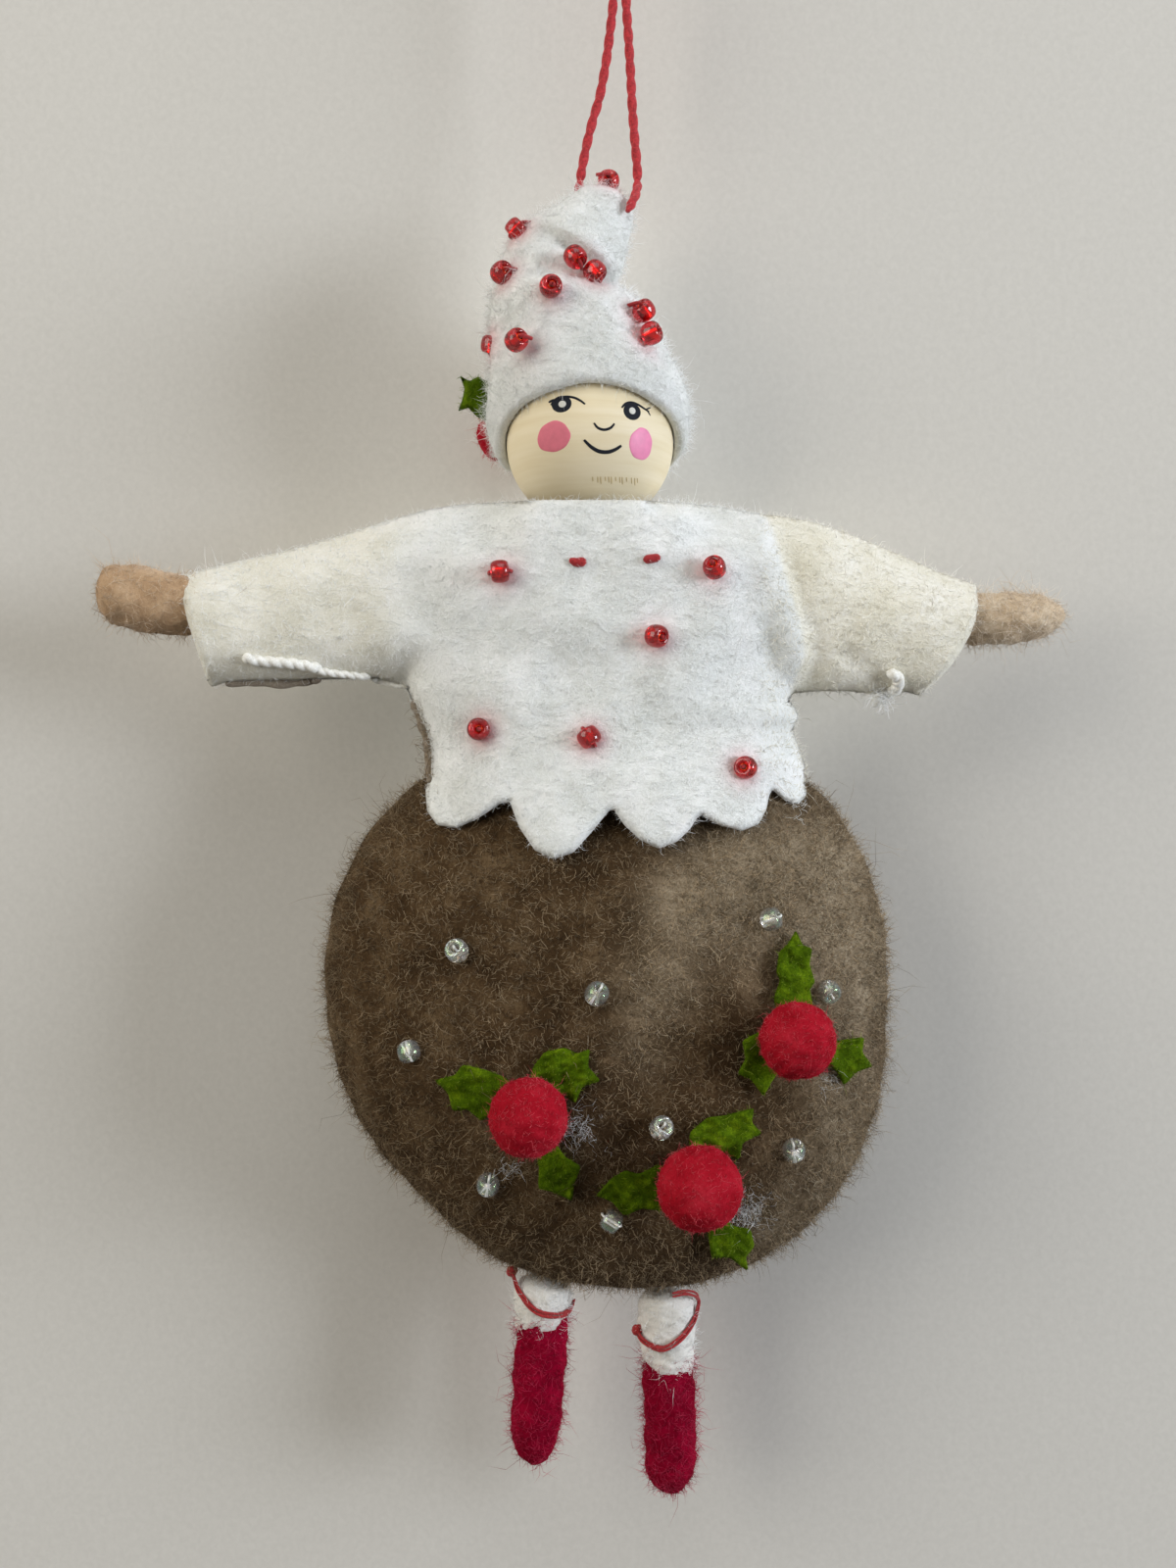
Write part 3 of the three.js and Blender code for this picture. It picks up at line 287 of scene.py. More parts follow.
# Dyed wool needled hard, without sheen, so it stays deep: the boots' crimson and the berries' clear red.
crimson_felt = felted_wool("needle_felted_crimson_wool", "#620217 #820423 #a00c30", patch=4.0, sheen=0.0)
crimson_fibres = loose_wool("loose_crimson_wool", "#7c0420", "#c83c5c", sheen=0.0)
berry_felt = felted_wool("needle_felted_red_wool", "#800a14 #a01424 #b82a38", fibre=0.4, sheen=0.0)
berry_fibres = loose_wool("loose_red_wool", "#940c18", "#e0606a", sheen=0.0)
# Thin dyed felt, punched out: olive to grass green in small clouds.
leaf_felt = felted_wool(
    "pressed_green_wool_felt", "#242f03 #425a07 #6f8812", fibre=0.4, patch=2.0, sheen=0.0
)
leaf_fibres = loose_wool("loose_green_wool", "#3c540a", "#94a83a", sheen=0.0)
# Wool needled round the leg wires: an off-white, greyer than the shirt.
leg_felt = felted_wool("needle_felted_white_wool", "#cfccc4 #dedbd4 #ecebe6")
# The cut face of the white felt where the back layer shows under the front: painted grey-brown for the shade that
# falls there.
shaded_cut_edge = felted_wool("shaded_felt_edge", "#6e624f #94887a #b5ab9b", fibre=0.4)
# Fluffy wool as it comes from the bag, inside where it hardly shows.
filling_wool = felted_wool("loose_wool_filling", "#cfccc2 #e2e0d8 #f0efe9", fibre=0.8, patch=4.0)
# Two-ply cotton cord and stranded floss: a dull gleam along each ply.
red_cotton = spun_thread("twisted_red_cotton", "#8c1a20", "#c53238")
red_floss = spun_thread("red_embroidery_floss", "#7c1016", "#b3282a", spacing=0.2, gloss=0.7)
white_floss = spun_thread("white_sewing_thread", "#dedcd2", "#fafaf6", gloss=0.4)
# Pressed glass: red beads lit from inside by a mirror coat in the hole, clear ones with a rainbow coat.
red_glass = bead_glass("silver_lined_red_glass", "#d82a32", clear=0.92)
clear_glass = bead_glass("rainbow_coated_clear_glass", "#f6f8f8", clear=0.9, film=420.0, waves=0.06)
red_lining = grained(
    "red_mirror_lining", 0.7, [(0.4, "#a81010"), (0.6, "#ff6a38")], 0.0, {"Detail": 2.0}, Metallic=1.0,
    Roughness=0.22,
)
# Birch turned on a lathe, sanded and lacquered thin: pale, with faint rings round the lathe's axis, Z.
birch = grained(
    "lacquered_birch", (50 / 3, 50 / 3, 10 / 9), [(0.3, "#dfcfab"), (0.5, "#e4d6b5"), (0.7, "#e9dcbf")], 0.12,
    {"Detail": 4.0, "Roughness": 0.6}, Roughness=0.58, Specular_IOR_Level=0.35,
)
# Pen ink and thin paint on the lacquer: dark lines, matt pink cheeks, the right one glossier.
slate_ink = paint("slate_ink", "#171a22", 0.7)
eye_paint = paint("grey_eye_paint", "#cfcec6", 0.4)
left_rouge = paint("dusky_pink_paint", "#d97686", 0.6)
right_rouge = paint("light_pink_paint", "#e88cb0", 0.35)
brushed_grain = paint("raised_brown_grain", "#c6b288", 0.7)
# Steel wire drawn through a die: grey, with fine bright lines.
steel = grained(
    "drawn_steel_wire", 0.4, [(0.3, "#77777a"), (0.7, "#b4b4b2")], 0.0, {"Detail": 2.0}, Metallic=1.0,
    Roughness=0.35,
)


# ---- meshes from arrays ----
def make_piece(
    name, points, faces, material, body=None, node=None, slot=None, shade=None, tone=None, hard=None
):
    """A mesh object from points in millimetres and arrays of quads and triangles, turned outwards by the sign of
    its volume. It rides on the body and replaces the CAD node, where they are given.
    The slot is not used. shade and tone are attributes for its material, and edges between two hard points are
    sharp."""
    corners = [face[:, [0, i, i + 1]] for face in faces for i in range(1, face.shape[1] - 1)]
    a, b, c = (points[np.concatenate(corners)[:, i]] for i in range(3))
    if (a * np.cross(b, c)).sum() < 0:
        faces = [face[:, ::-1] for face in faces]
    sides = np.concatenate([np.full(len(face), face.shape[1]) for face in faces])
    numbers = np.concatenate([face.ravel() for face in faces])
    mesh = bpy.data.meshes.new(name)
    mesh.vertices.add(len(points))
    mesh.vertices.foreach_set("co", (points * MM).astype(np.float32).ravel())
    mesh.loops.add(len(numbers))
    mesh.loops.foreach_set("vertex_index", numbers.astype(np.int32))
    mesh.polygons.add(len(sides))
    mesh.polygons.foreach_set("loop_start", (np.cumsum(sides) - sides).astype(np.int32))
    mesh.update(calc_edges=True)
    mesh.validate()
    mesh.shade_smooth()
    mesh.materials.append(material)
    for attribute, values in (("shade", shade), ("tone", tone)):
        if values is not None:
            add_values(mesh, attribute, values)
    if hard is not None:
        ends = read_values(mesh.edges, "vertices", 2, np.int32)
        sharp = mesh.attributes.new("sharp_edge", "BOOLEAN", "EDGE")
        sharp.data.foreach_set("value", hard[ends].all(1))
    piece = bpy.data.objects.new(name, mesh)
    bpy.context.collection.objects.link(piece)
    if body:
        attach(piece, body)
    if node:
        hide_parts(node)
    return piece


def add_values(mesh, name, values):
    """Writes one number for each point of a mesh, for a material to read."""
    attribute = mesh.attributes.new(name, "FLOAT", "POINT")
    attribute.data.foreach_set("value", values.astype(np.float32))


def read_values(items, name, width, kind):
    """What the items of a mesh hold under that name, as rows of so many numbers."""
    values = np.empty(len(items) * width, kind)
    items.foreach_get(name, values)
    return values.reshape(-1, width)


def skin(rings):
    """Points and faces of a closed skin over rings (rows, columns, 3): quads between neighbours, and each end
    closed by a fan to its middle."""
    rows, columns = rings.shape[:2]
    here = np.arange(columns)
    after = (here + 1) % columns
    down = np.arange(rows - 1)[:, None] * columns
    quads = np.stack([down + here, down + after, down + after + columns, down + here + columns], -1)
    last = (rows - 1) * columns
    first_fan = np.stack([after, here, np.full(columns, rows * columns)], -1)
    last_fan = np.stack([last + here, last + after, np.full(columns, rows * columns + 1)], -1)
    points = np.concatenate([rings.reshape(-1, 3), rings[[0, -1]].mean(1)])
    return points, [quads.reshape(-1, 4), first_fan, last_fan]


def together(parts):
    """Several (points, faces) as one, with the faces' numbers moved on."""
    points, faces, start = [], [], 0
    for part_points, part_faces in parts:
        points.append(part_points)
        faces += [face + start for face in part_faces]
        start += len(part_points)
    return np.concatenate(points), faces


def full_turn(count):
    """So many angles evenly round a full turn, from 0."""
    return np.linspace(0, 2 * np.pi, count, endpoint=False)


def unit(vectors):
    """The vectors with their lengths made one."""
    return vectors / np.maximum(np.linalg.norm(vectors, axis=-1, keepdims=True), 1e-12)


def lumps(points, size, seed):
    """Soft random relief, mostly between -1 and 1: eight sine waves of about that length in random
    directions, added up and divided by three."""
    random = np.random.default_rng(seed)
    waves = unit(random.normal(size=(8, 3))) * (2 * np.pi / size) * random.uniform(0.6, 1.5, (8, 1))
    return np.sin(points @ waves.T + random.uniform(0, 2 * np.pi, 8)).sum(-1) / 3


def smooth(start, end, value):
    """0 before start, 1 after end, and a smooth cubic between."""
    share = np.clip((value - start) / (end - start), 0, 1)
    return share * share * (3 - 2 * share)


def rounded(distance, radius):
    """A quarter circle from 0 at distance 0 to 1 at the radius."""
    return np.sqrt(1 - (1 - np.clip(distance / radius, 0, 1)) ** 2)


def bend_between(a, b, c, d, f):
    """The Catmull-Rom cubic between b and c, at the share f of the way, with their neighbours a and d."""
    return (2 * b + (c - a) * f + (2 * a - 5 * b + 4 * c - d) * f**2 + (3 * b - a - 3 * c + d) * f**3) / 2


def curve_through(points, count):
    """A Catmull-Rom curve through the points, sampled evenly in its parameter."""
    points = np.asarray(points, float)
    padded = np.concatenate([2 * points[:1] - points[1:2], points, 2 * points[-1:] - points[-2:-1]])
    place = np.linspace(0, len(points) - 1, count)
    i = np.minimum(place.astype(int), len(points) - 2)
    return bend_between(*(padded[i + k] for k in range(4)), (place - i)[:, None])


def sweep(path, outward, thick, wide=None, columns=8):
    """Rings of an oval section carried along a path: thick along outward, wide across it, one number or one
    for each point of the path."""
    along = unit(np.gradient(path, axis=0))
    out = unit(outward - (outward * along).sum(-1, keepdims=True) * along)
    side = np.cross(along, out)
    turn = full_turn(columns)
    thick = np.broadcast_to(np.asarray(thick, float), len(path))[:, None, None]
    wide = thick if wide is None else np.broadcast_to(np.asarray(wide, float), len(path))[:, None, None]
    offset = out[:, None] * np.cos(turn)[:, None] * thick + side[:, None] * np.sin(turn)[:, None] * wide
    return path[:, None] + offset


def strands(roots, directions, lengths, thick, curl, seed, steps):
    """Loose fibres as three-sided tapering tubes of a few steps that end in a point. Each step turns by a
    random curl. Returns points, faces and a shade from about 0 to 1: lighter to the tip, by fibre and in
    patches of some millimetres."""
    random = np.random.default_rng(seed)
    count = len(roots)
    heading = unit(directions)
    spine = [roots]
    for step in range(steps):
        heading = unit(heading + curl * random.normal(size=(count, 3)))
        spine.append(spine[-1] + heading * (lengths / steps)[:, None])
    across = unit(np.cross(heading, random.normal(size=(count, 3))))
    other = np.cross(heading, across)
    turn = np.arange(3) * 2 * np.pi / 3
    around = (across[:, None] * np.cos(turn)[:, None] + other[:, None] * np.sin(turn)[:, None]) * thick
    rings = [spine[k][:, None] + around * (1 - 0.4 * k / steps) for k in range(steps)]
    own = 3 * steps + 1  # points of one fibre: its rings and its tip
    points = np.concatenate([np.stack(rings, 1).reshape(count, own - 1, 3), spine[-1][:, None]], 1)
    start = np.arange(count)[:, None, None] * own
    sides = [(k, (k + 1) % 3) for k in range(3)]
    quads = np.array([[a + r, b + r, b + r + 3, a + r + 3] for r in range(0, own - 4, 3) for a, b in sides])
    tips = np.array([[a + own - 4, b + own - 4, own - 1] for a, b in sides])
    faces = [(start + quads).reshape(-1, 4), (start + tips).reshape(-1, 3)]
    own_shade = random.uniform(0, 0.6, count) + 0.16 * lumps(roots, 7.0, seed + 2)
    along = np.append(np.repeat(np.arange(steps) / steps, 3), 1.0)
    return points.reshape(-1, 3), faces, np.clip(own_shade[:, None] + 0.4 * along, 0, 1).ravel()


def fuzz(
    name, base, count, length, material, seed, rise=0.3, thick=0.028, curl=0.5, where=None, stray=0.02, steps=2,
    paler=None, slot=None,
):
    """Fibres that stand out of a piece: roots spread over its faces by area, leaning over along the surface.
    rise is the share of a fibre's start that points outwards, thick its radius, two or three times a real
    one's so that it shows. A few stray fibres are two and a half times as long. where(points, normals)
    weighs the places, and paler(points) is added to the fibres' shade."""
    mesh = base.data
    mesh.calc_loop_triangles()
    corners = read_values(mesh.loop_triangles, "vertices", 3, np.int32)
    places = read_values(mesh.vertices, "co", 3, np.float32).astype(float)
    a, b, c = (places[corners[:, i]] / MM for i in range(3))
    normals = np.cross(b - a, c - a)
    weight = np.linalg.norm(normals, axis=1)
    normals = unit(normals)
    if where is not None:
        weight = weight * where((a + b + c) / 3, normals)
    random = np.random.default_rng(seed)
    chosen = random.choice(len(weight), count, p=weight / weight.sum())
    u, v = random.uniform(0, 1, (2, count, 1))
    u, v = np.where(u + v > 1, 1 - u, u), np.where(u + v > 1, 1 - v, v)
    roots = a[chosen] + u * (b - a)[chosen] + v * (c - a)[chosen]
    normal = normals[chosen]
    flat = unit(np.cross(normal, random.normal(size=(count, 3))))
    lengths = length * random.uniform(0.5, 1.4, count) * np.where(random.uniform(size=count) < stray, 2.5, 1.0)
    start = rise * normal + (1 - rise) * flat
    points, faces, shade = strands(roots - 0.06 * normal, start, lengths, thick, curl, seed + 1, steps)
    if paler is not None:
        shade = np.clip(shade + np.repeat(paler(roots), 3 * steps + 1), 0, 1)
    return make_piece(name, points, faces, material, base.get("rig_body"), slot=slot, shade=shade)


# ---- camera and cord ----
camera_data = bpy.data.cameras.new("camera")
camera_data.sensor_fit = "VERTICAL"
camera_data.sensor_width = camera_data.sensor_height = 36
camera_data.lens = 37.5  # the picture is 192 mm tall on the plane Y = 0, 200 mm away
camera = bpy.data.objects.new("camera", camera_data)
camera.location = Vector(CAMERA_PLACE * MM)
camera.rotation_euler = (np.pi / 2, 0, 0)
bpy.context.collection.objects.link(camera)
scene = bpy.context.scene
scene.camera = camera
scene.view_settings.view_transform = "Standard"

CORD_ROUTE = [
    (-3.3, -51.4), (-3.0, -49.4), (-2.4, -46.4), (-1.65, -43.4), (-0.84, -40.6), (-0.1, -36.6),
    (0.45, -32.5), (0.8, -29.0), (0.8, -25.4), (0.6, -22.4), (-0.65, -18.4), (-2.65, -13.6), (-4.05, -8.6),
    (-3.95, -3.9), (-2.4, -0.6), (0, 0.6), (2.45, -0.6), (4.35, -3.9), (5.05, -8.6), (4.45, -13.6),
    (3.35, -18.4), (2.6, -22.4), (2.4, -25.4), (2.4, -29.0), (2.65, -33.0), (2.95, -38.0), (3.15, -42.0),
    (3.45, -46.0), (3.75, -49.4), (3.75, -51.6),
]  # X and Z, up from the hat's left, round the eye and down to its right
CORD_TAILS = {
    "right": [
        (3.74, 0.0, -50.6), (3.75, -0.3, -51.8), (3.55, -1.3, -53.0), (3.1, -2.1, -54.3), (2.5, -2.6, -55.6),
    ],
    "left": [(-3.2, 0.0, -50.6), (-3.32, 0.1, -51.6), (-3.45, 0.3, -52.7), (-3.5, 0.5, -53.8)],
}  # from the cord's two ends down into the hat
CORD_RADIUS = 0.6
CORD_TWIST = 4.2  # millimetres for each turn of its two plies, about the real lay
KNOT_MIDDLE = np.array([1.6, 0.0, -25.4])
KNOT_RADIUS = 0.75


def towards_viewer(count):
    """The direction -Y, once for each of so many points."""
    return np.tile([0.0, -1.0, 0.0], (count, 1))


def twisted_cord(path, outward, radius, pitch, columns=18):
    """A cord of two round plies that wind round each other: the section's radius is 0.72 + 0.28 |cos| of the
    angle from the plies' line, which turns once in each pitch along the path. Its ends taper over 1.2 mm."""
    step = np.linalg.norm(np.diff(path, axis=0), axis=1)
    run = np.concatenate([[0], np.cumsum(step)])
    rings = sweep(path, outward, radius, columns=columns) - path[:, None]
    turn = full_turn(columns)
    lobes = 0.72 + 0.28 * np.abs(np.cos(turn - 2 * np.pi * run[:, None] / pitch))
    taper = 0.55 + 0.45 * smooth(0, 1.2, run) * smooth(0, 1.2, run[-1] - run)
    return skin(path[:, None] + rings * (lobes * taper[:, None])[..., None])


def knot_path():
    """The thread of the knot as waves of one turn: mostly one wave across, three in depth and two up."""
    turn = full_turn(160)
    across = 2.25 * np.sin(turn) + 0.55 * np.sin(2 * turn)
    back = 1.125 * np.cos(3 * turn)
    up = 1.35 * np.sin(2 * turn + 0.5) + 0.35 * np.cos(turn)
    return KNOT_MIDDLE + np.stack([across, back, up], -1)


def cord_piece(name, path, outward, radius, body, node=None):
    """A length of the red cord as a piece."""
    return make_piece(
        name, *twisted_cord(path, outward, radius, CORD_TWIST), red_cotton, body, node, "red_cord"
    )


cord_path = curve_through([(x, 0, z) for x, z in CORD_ROUTE], 520)
cord = cord_piece(
    "hanging_cord_cotton", cord_path, towards_viewer(520), CORD_RADIUS, "hanging_loop", "hanging_cord"
)
winding = knot_path()
knot = cord_piece(
    "cord_knot_cotton", winding, unit(winding - KNOT_MIDDLE), KNOT_RADIUS, "hanging_loop", "cord_knot"
)
for word, points in CORD_TAILS.items():
    cord_piece(f"cord_{word}_tail_cotton", curve_through(points, 60), towards_viewer(60), CORD_RADIUS, "head")


# ---- pudding ----
def pudding_edge(angle):
    """The pudding's radius at an angle clockwise from the top: a smooth curve through its outline's
    shares."""
    count = len(PUDDING_OUTLINE)
    place = (angle / (2 * np.pi) * count) % count
    i = np.floor(place).astype(int)
    near = (PUDDING_OUTLINE[(i + k) % count] for k in (-1, 0, 1, 2))
    return PUDDING_RADIUS * bend_between(*near, place - i)


def dome(share):
    """The height of a stuffed dome, 1 in its middle and 0 at its edge: (1 - share ^ 2.2) ^ 0.6."""
    return (1 - np.clip(share, 0, 1) ** 2.2) ** 0.6


def pudding_depth(x, z):
    """Depth of the pudding's front at (x, z)."""
    up = z - PUDDING_MIDDLE
    return PUDDING_DEPTH * dome(np.hypot(x, up) / pudding_edge(np.arctan2(x, up)))


def pudding_rings(angle, radius, depth):
    """Rings (x, y, z) round the pudding's middle from their angles, radii and depths."""
    return np.stack([radius * np.sin(angle), -depth + 0 * angle, radius * np.cos(angle)], -1)


def pudding_half(side, seed):
    """One domed felt panel: rings from the middle out to the seam and back inside. Lumps of a few millimetres
    give the felt its relief, and 31 hidden stitches draw its edge in."""
    angle = full_turn(256)[None]
    share = np.sin(np.linspace(0.004, 1, 80) * np.pi / 2)[:, None]
    stitches = np.sin(31 * angle + 2 * np.sin(3 * angle))
    depth = np.maximum(PUDDING_DEPTH * dome(share), 0.04)
    outer = pudding_rings(angle, pudding_edge(angle) * (1 + 0.003 * stitches) * share, depth)
    relief = 0.2 * lumps(outer, 12.0, seed) + 0.05 * lumps(outer, 2.2, seed + 1)
    relief += 0.04 * lumps(outer, 0.9, seed + 2)
    outer[..., 1] -= relief * rounded(1 - share, 0.12)
    outer[..., 1] += smooth(0.9, 0.99, share) * 0.2 * (0.5 + 0.5 * stitches) * (depth > 0.3)
    inner_share = np.array([0.985, 0.9, 0.6, 0.3, 0.01])[:, None]
    inner_depth = np.maximum((PUDDING_DEPTH - FELT) * dome(inner_share) - 0.5, 0.03)
    inner = pudding_rings(angle, pudding_edge(angle) * inner_share * 0.95, inner_depth)
    rings = np.concatenate([outer, inner])
    rings[..., 1] *= -side
    rings[..., 2] += PUDDING_MIDDLE
    return skin(rings)


PALE_AND_LIT_PATCHES = [
    (690, 930, 4.0, 0.7), (676, 1000, 4.5, 0.7), (655, 1070, 3.5, 0.4), (750, 905, 6.5, 1.2),
    (840, 905, 8.0, 1.3), (890, 1000, 7.0, 1.0), (875, 1110, 5.0, 0.7), (870, 1200, 6.0, 0.7),
    (800, 1275, 5.0, 0.5),
]
WHITE_TUFTS = [(588, 1150, 1.5, 1.0), (765, 1242, 1.8, 1.0), (520, 1195, 1.0, 0.4), (845, 1105, 1.2, 0.5)]
# picture places, spread in millimetres and weight of pale fibres caught in the brown; the patches on the right
# half are also painted light from that side


def near_places(table):
    """A weight for fuzz: high on the pudding's front near the picture places of a table."""
    spots = [
        (seen_at(from_picture(across, down), TRIM_DEPTH)[[0, 2]], spread, weight)
        for across, down, spread, weight in table
    ]

    def weigh(points, normals):
        """The sum of each spot's weight times exp(-(distance / spread)^2)."""
        flat = points[:, [0, 2]]
        near = (weight * np.exp(-((flat - spot) ** 2).sum(1) / spread**2) for spot, spread, weight in spots)
        return (normals[:, 1] < -0.3) * sum(near)

    return weigh


def paleness_and_light(points):
    """How much paler the brown is made, near picture places on the front and fading out over the rim towards the
    back: pale wool felted in, and on the right half painted light from that side."""
    pale = np.clip(near_places(PALE_AND_LIT_PATCHES)(points, np.full(points.shape, -1.0)), 0, 1)
    return pale * (1 - smooth(1.0, 9.0, points[:, 1]))


def slightly_pale(points):
    """What the pale wool and the painted light add to the shade of the brown pile."""
    return 0.4 * paleness_and_light(points)


def pudding_outside(points, normals):
    """The outer faces of either panel, but for the seam between them."""
    return (normals[:, 1] * np.sign(points[:, 1]) > -0.3) & (np.abs(points[:, 1]) > 0.3)


def pudding_rim(points, normals):
    """The outer faces near the seam."""
    return pudding_outside(points, normals) * (np.abs(points[:, 1]) < 5)


SHORT_PILE = {"rise": 0.4, "curl": 0.9, "slot": "brown_felt"}
LONG_PILE = {"rise": 0.5, "curl": 0.9, "slot": "brown_felt", "steps": 3}
for side, word, seed, counts in ((-1, "front", 11, (15500, 15500)), (1, "back", 21, (12000,))):
    points, faces = pudding_half(side, seed)
    panel = make_piece(
        f"pudding_{word}_felt", points, faces, brown_felt, "torso", f"pudding_{word}", "brown_felt",
        tone=0.85 * paleness_and_light(points),
    )
    piles = [
        fuzz(
            f"pudding_{word}_fuzz_{k}", panel, count, 1.4, brown_fibres, seed + 9 * k, thick=0.036,
            where=pudding_outside, paler=slightly_pale, **SHORT_PILE,
        )
        for k, count in enumerate(counts, 1)
    ]
    piles.append(
        fuzz(
            f"pudding_{word}_halo", panel, 3800, 2.6, brown_fibres, seed + 5, thick=0.025, where=pudding_rim,
            **LONG_PILE,
        )
    )
    if side < 0:
        # The grey-brown strands gather in the same patches, so on the right half they too are painted light.
        patches, tufts = near_places(PALE_AND_LIT_PATCHES), near_places(WHITE_TUFTS)
        for name, *values, thick, where, pile in (
            ("pudding_pale_strands", 7500, 1.4, grey_fibres, 19, 0.034, patches, SHORT_PILE),
            ("pudding_white_tufts", 420, 2.2, white_fibres, 18, 0.022, tufts, LONG_PILE),
        ):
            piles.append(fuzz(name, panel, *values, thick=thick, where=where, **pile))


# ---- fillings ----
def pudding_filling():
    """The wool that fills the pudding: its two domes a little smaller, joined at the rim."""
    angle = full_turn(96)[None]
    share = np.sin(np.linspace(0.02, 1, 24) * np.pi / 2)[:, None]
    half = pudding_rings(angle, pudding_edge(angle) * share * 0.93, (PUDDING_DEPTH - 2 * FELT) * dome(share))
    half[..., 2] += PUDDING_MIDDLE
    return skin(np.concatenate([half, half[-2::-1] * [1, -1, 1]]))


def torso_filling():
    """The wool under the shirt: ovals that fill 0.8 of its CAD node's depth, rounded off at both ends."""
    low, high = (np.array(corner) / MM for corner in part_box("torso_stuffing"))
    middle, half = (low + high) / 2, (high - low) / 2
    share = np.linspace(0, 1, 24)[:, None]
    turn = full_turn(64)
    round_off = (1 - np.abs(2 * share - 1) ** 6) ** 0.5 * 0.98 + 0.02
    x = middle[0] + half[0] * round_off * np.sin(turn)
    y = middle[1] - half[1] * 0.8 * round_off * np.cos(turn)
    return skin(np.stack([x, y, low[2] + (high[2] - low[2]) * share + 0 * turn], -1))


for name, shape in (("pudding", pudding_filling()), ("torso", torso_filling())):
    filling = make_piece(f"{name}_filling", *shape, filling_wool, "torso", f"{name}_stuffing", "stuffing")


# ---- shirt: flat outlines and a depth over them ----
SHIRT_TOP_LINE = picture_line([
    (184, 587), (240, 573), (300, 560), (352, 545), (400, 530), (440, 519), (478, 514), (520, 512),
    (560, 510), (600, 510), (645, 510), (690, 512), (735, 517), (774, 524), (805, 528), (831, 533),
    (864, 544), (896, 557), (925, 569), (953, 582), (976, 590), (996, 597),
])
RIGHT_CUFF = picture_line([
    (997, 606), (998, 618), (995, 634), (990, 648), (982, 662), (971, 679), (955, 696), (937, 711),
])
RIGHT_SEAM = picture_line([
    (930, 706), (922, 704), (914, 709), (903, 714), (890, 709), (871, 704), (840, 704), (810, 707),
])
RIGHT_SIDE = picture_line([(805, 714), (812, 723), (815, 732), (809, 745), (815, 762), (821, 780), (822, 798)])
HEM = picture_line([
    (823, 812), (814, 821), (800, 816), (788, 806), (785, 812), (782, 826), (774, 841), (757, 848),
    (734, 842), (716, 832), (711, 835), (704, 846), (691, 859), (672, 866), (653, 857), (637, 842),
    (626, 826), (621, 828), (603, 850), (585, 870), (565, 877), (546, 868), (530, 845), (520, 818),
    (511, 820), (488, 835), (466, 845), (446, 842), (436, 828), (434, 808),
])
LEFT_SIDE = picture_line([(437, 795), (438, 775), (436, 757), (429, 737), (421, 717), (415, 703)])
LEFT_SEAM = picture_line([(400, 696), (374, 691), (350, 691), (326, 692), (280, 694), (228, 697), (216, 701)])
LEFT_CUFF = picture_line([(212, 697), (205, 676), (198, 655), (191, 633), (186, 611)])
SHIRT_OUTLINE = np.concatenate(
    [SHIRT_TOP_LINE, RIGHT_CUFF, RIGHT_SEAM, RIGHT_SIDE, HEM, LEFT_SIDE, LEFT_SEAM, LEFT_CUFF]
)
SHIRT_LEVELS = [0, 0.07, 0.13, 0.35, 0.63, 0.79, 0.93, 1]
SHIRT_DEPTHS = [0.86, 0.93, 0.97, 1, 1.03, 1.22, 1.39, 1.44]  # shares of the chest's depth
SLEEVE_PLACES, SLEEVE_DEPTHS = [18, 30, 42, 52], [6.4, 5.6, 5.0, 4.6]  # how far out, and depth there
LEFT_SEAM_HEIGHT, RIGHT_SEAM_HEIGHT = -112.2, -113.6
SPLIT = 19.0  # how far out the sleeve's piece begins
PITCH = 0.42  # the grid of the shirt's felt
LEAF_PITCH = 0.28  # the grid of a leaf's felt
SHOULDER_FOLD = picture_line([(783, 526), (789, 545), (801, 594), (816, 641), (821, 672), (810, 704)])
FOLDS = [
    ([(778, 530), (785, 560), (795, 600), (808, 645), (811, 672), (802, 700)], 2.4, 0.8),
    ([(797, 548), (811, 594), (827, 641), (832, 672), (822, 700)], 1.3, -0.6),
    ([(778, 640), (782, 665), (790, 695)], 1.3, -0.4),
    ([(440, 528), (412, 570), (398, 610), (398, 655)], 3.4, 0.3),
    ([(452, 640), (478, 660), (505, 668)], 2.4, -0.3),
    ([(300, 590), (350, 575), (400, 560)], 2.5, 0.3),
    ([(860, 600), (900, 625), (950, 640)], 2.6, 0.3),
    ([(862, 668), (884, 682), (905, 700)], 1.2, -0.5),
    ([(560, 680), (600, 700), (640, 705)], 4.5, -0.35),
    ([(640, 730), (700, 690), (760, 640)], 5.0, 0.35),
]  # picture places, width and height of each fold in millimetres


def line_distance(points, line):
    """Distance from each point (x, z) to a polyline, and the nearest place on it."""
    start, step = line[:-1], np.diff(line, axis=0)
    along = ((points[:, None] - start) * step).sum(-1) / (step**2).sum(-1)
    near = start + np.clip(along, 0, 1)[..., None] * step
    gap = np.linalg.norm(points[:, None] - near, axis=-1)
    best = gap.argmin(1)
    rows = np.arange(len(points))
    return gap[rows, best], near[rows, best]


def inside_outline(points, outline):
    """Whether each point lies inside a closed outline: a ray to the right crosses it an odd number of
    times."""
    start, end = outline, np.roll(outline, -1, axis=0)
    z = points[:, None, 1]
    crosses = (start[:, 1] > z) != (end[:, 1] > z)
    rise = np.where(end[:, 1] == start[:, 1], 1, end[:, 1] - start[:, 1])
    x = start[:, 0] + (z - start[:, 1]) / rise * (end[:, 0] - start[:, 0])
    return (crosses & (points[:, None, 0] < x)).sum(1) % 2 == 1


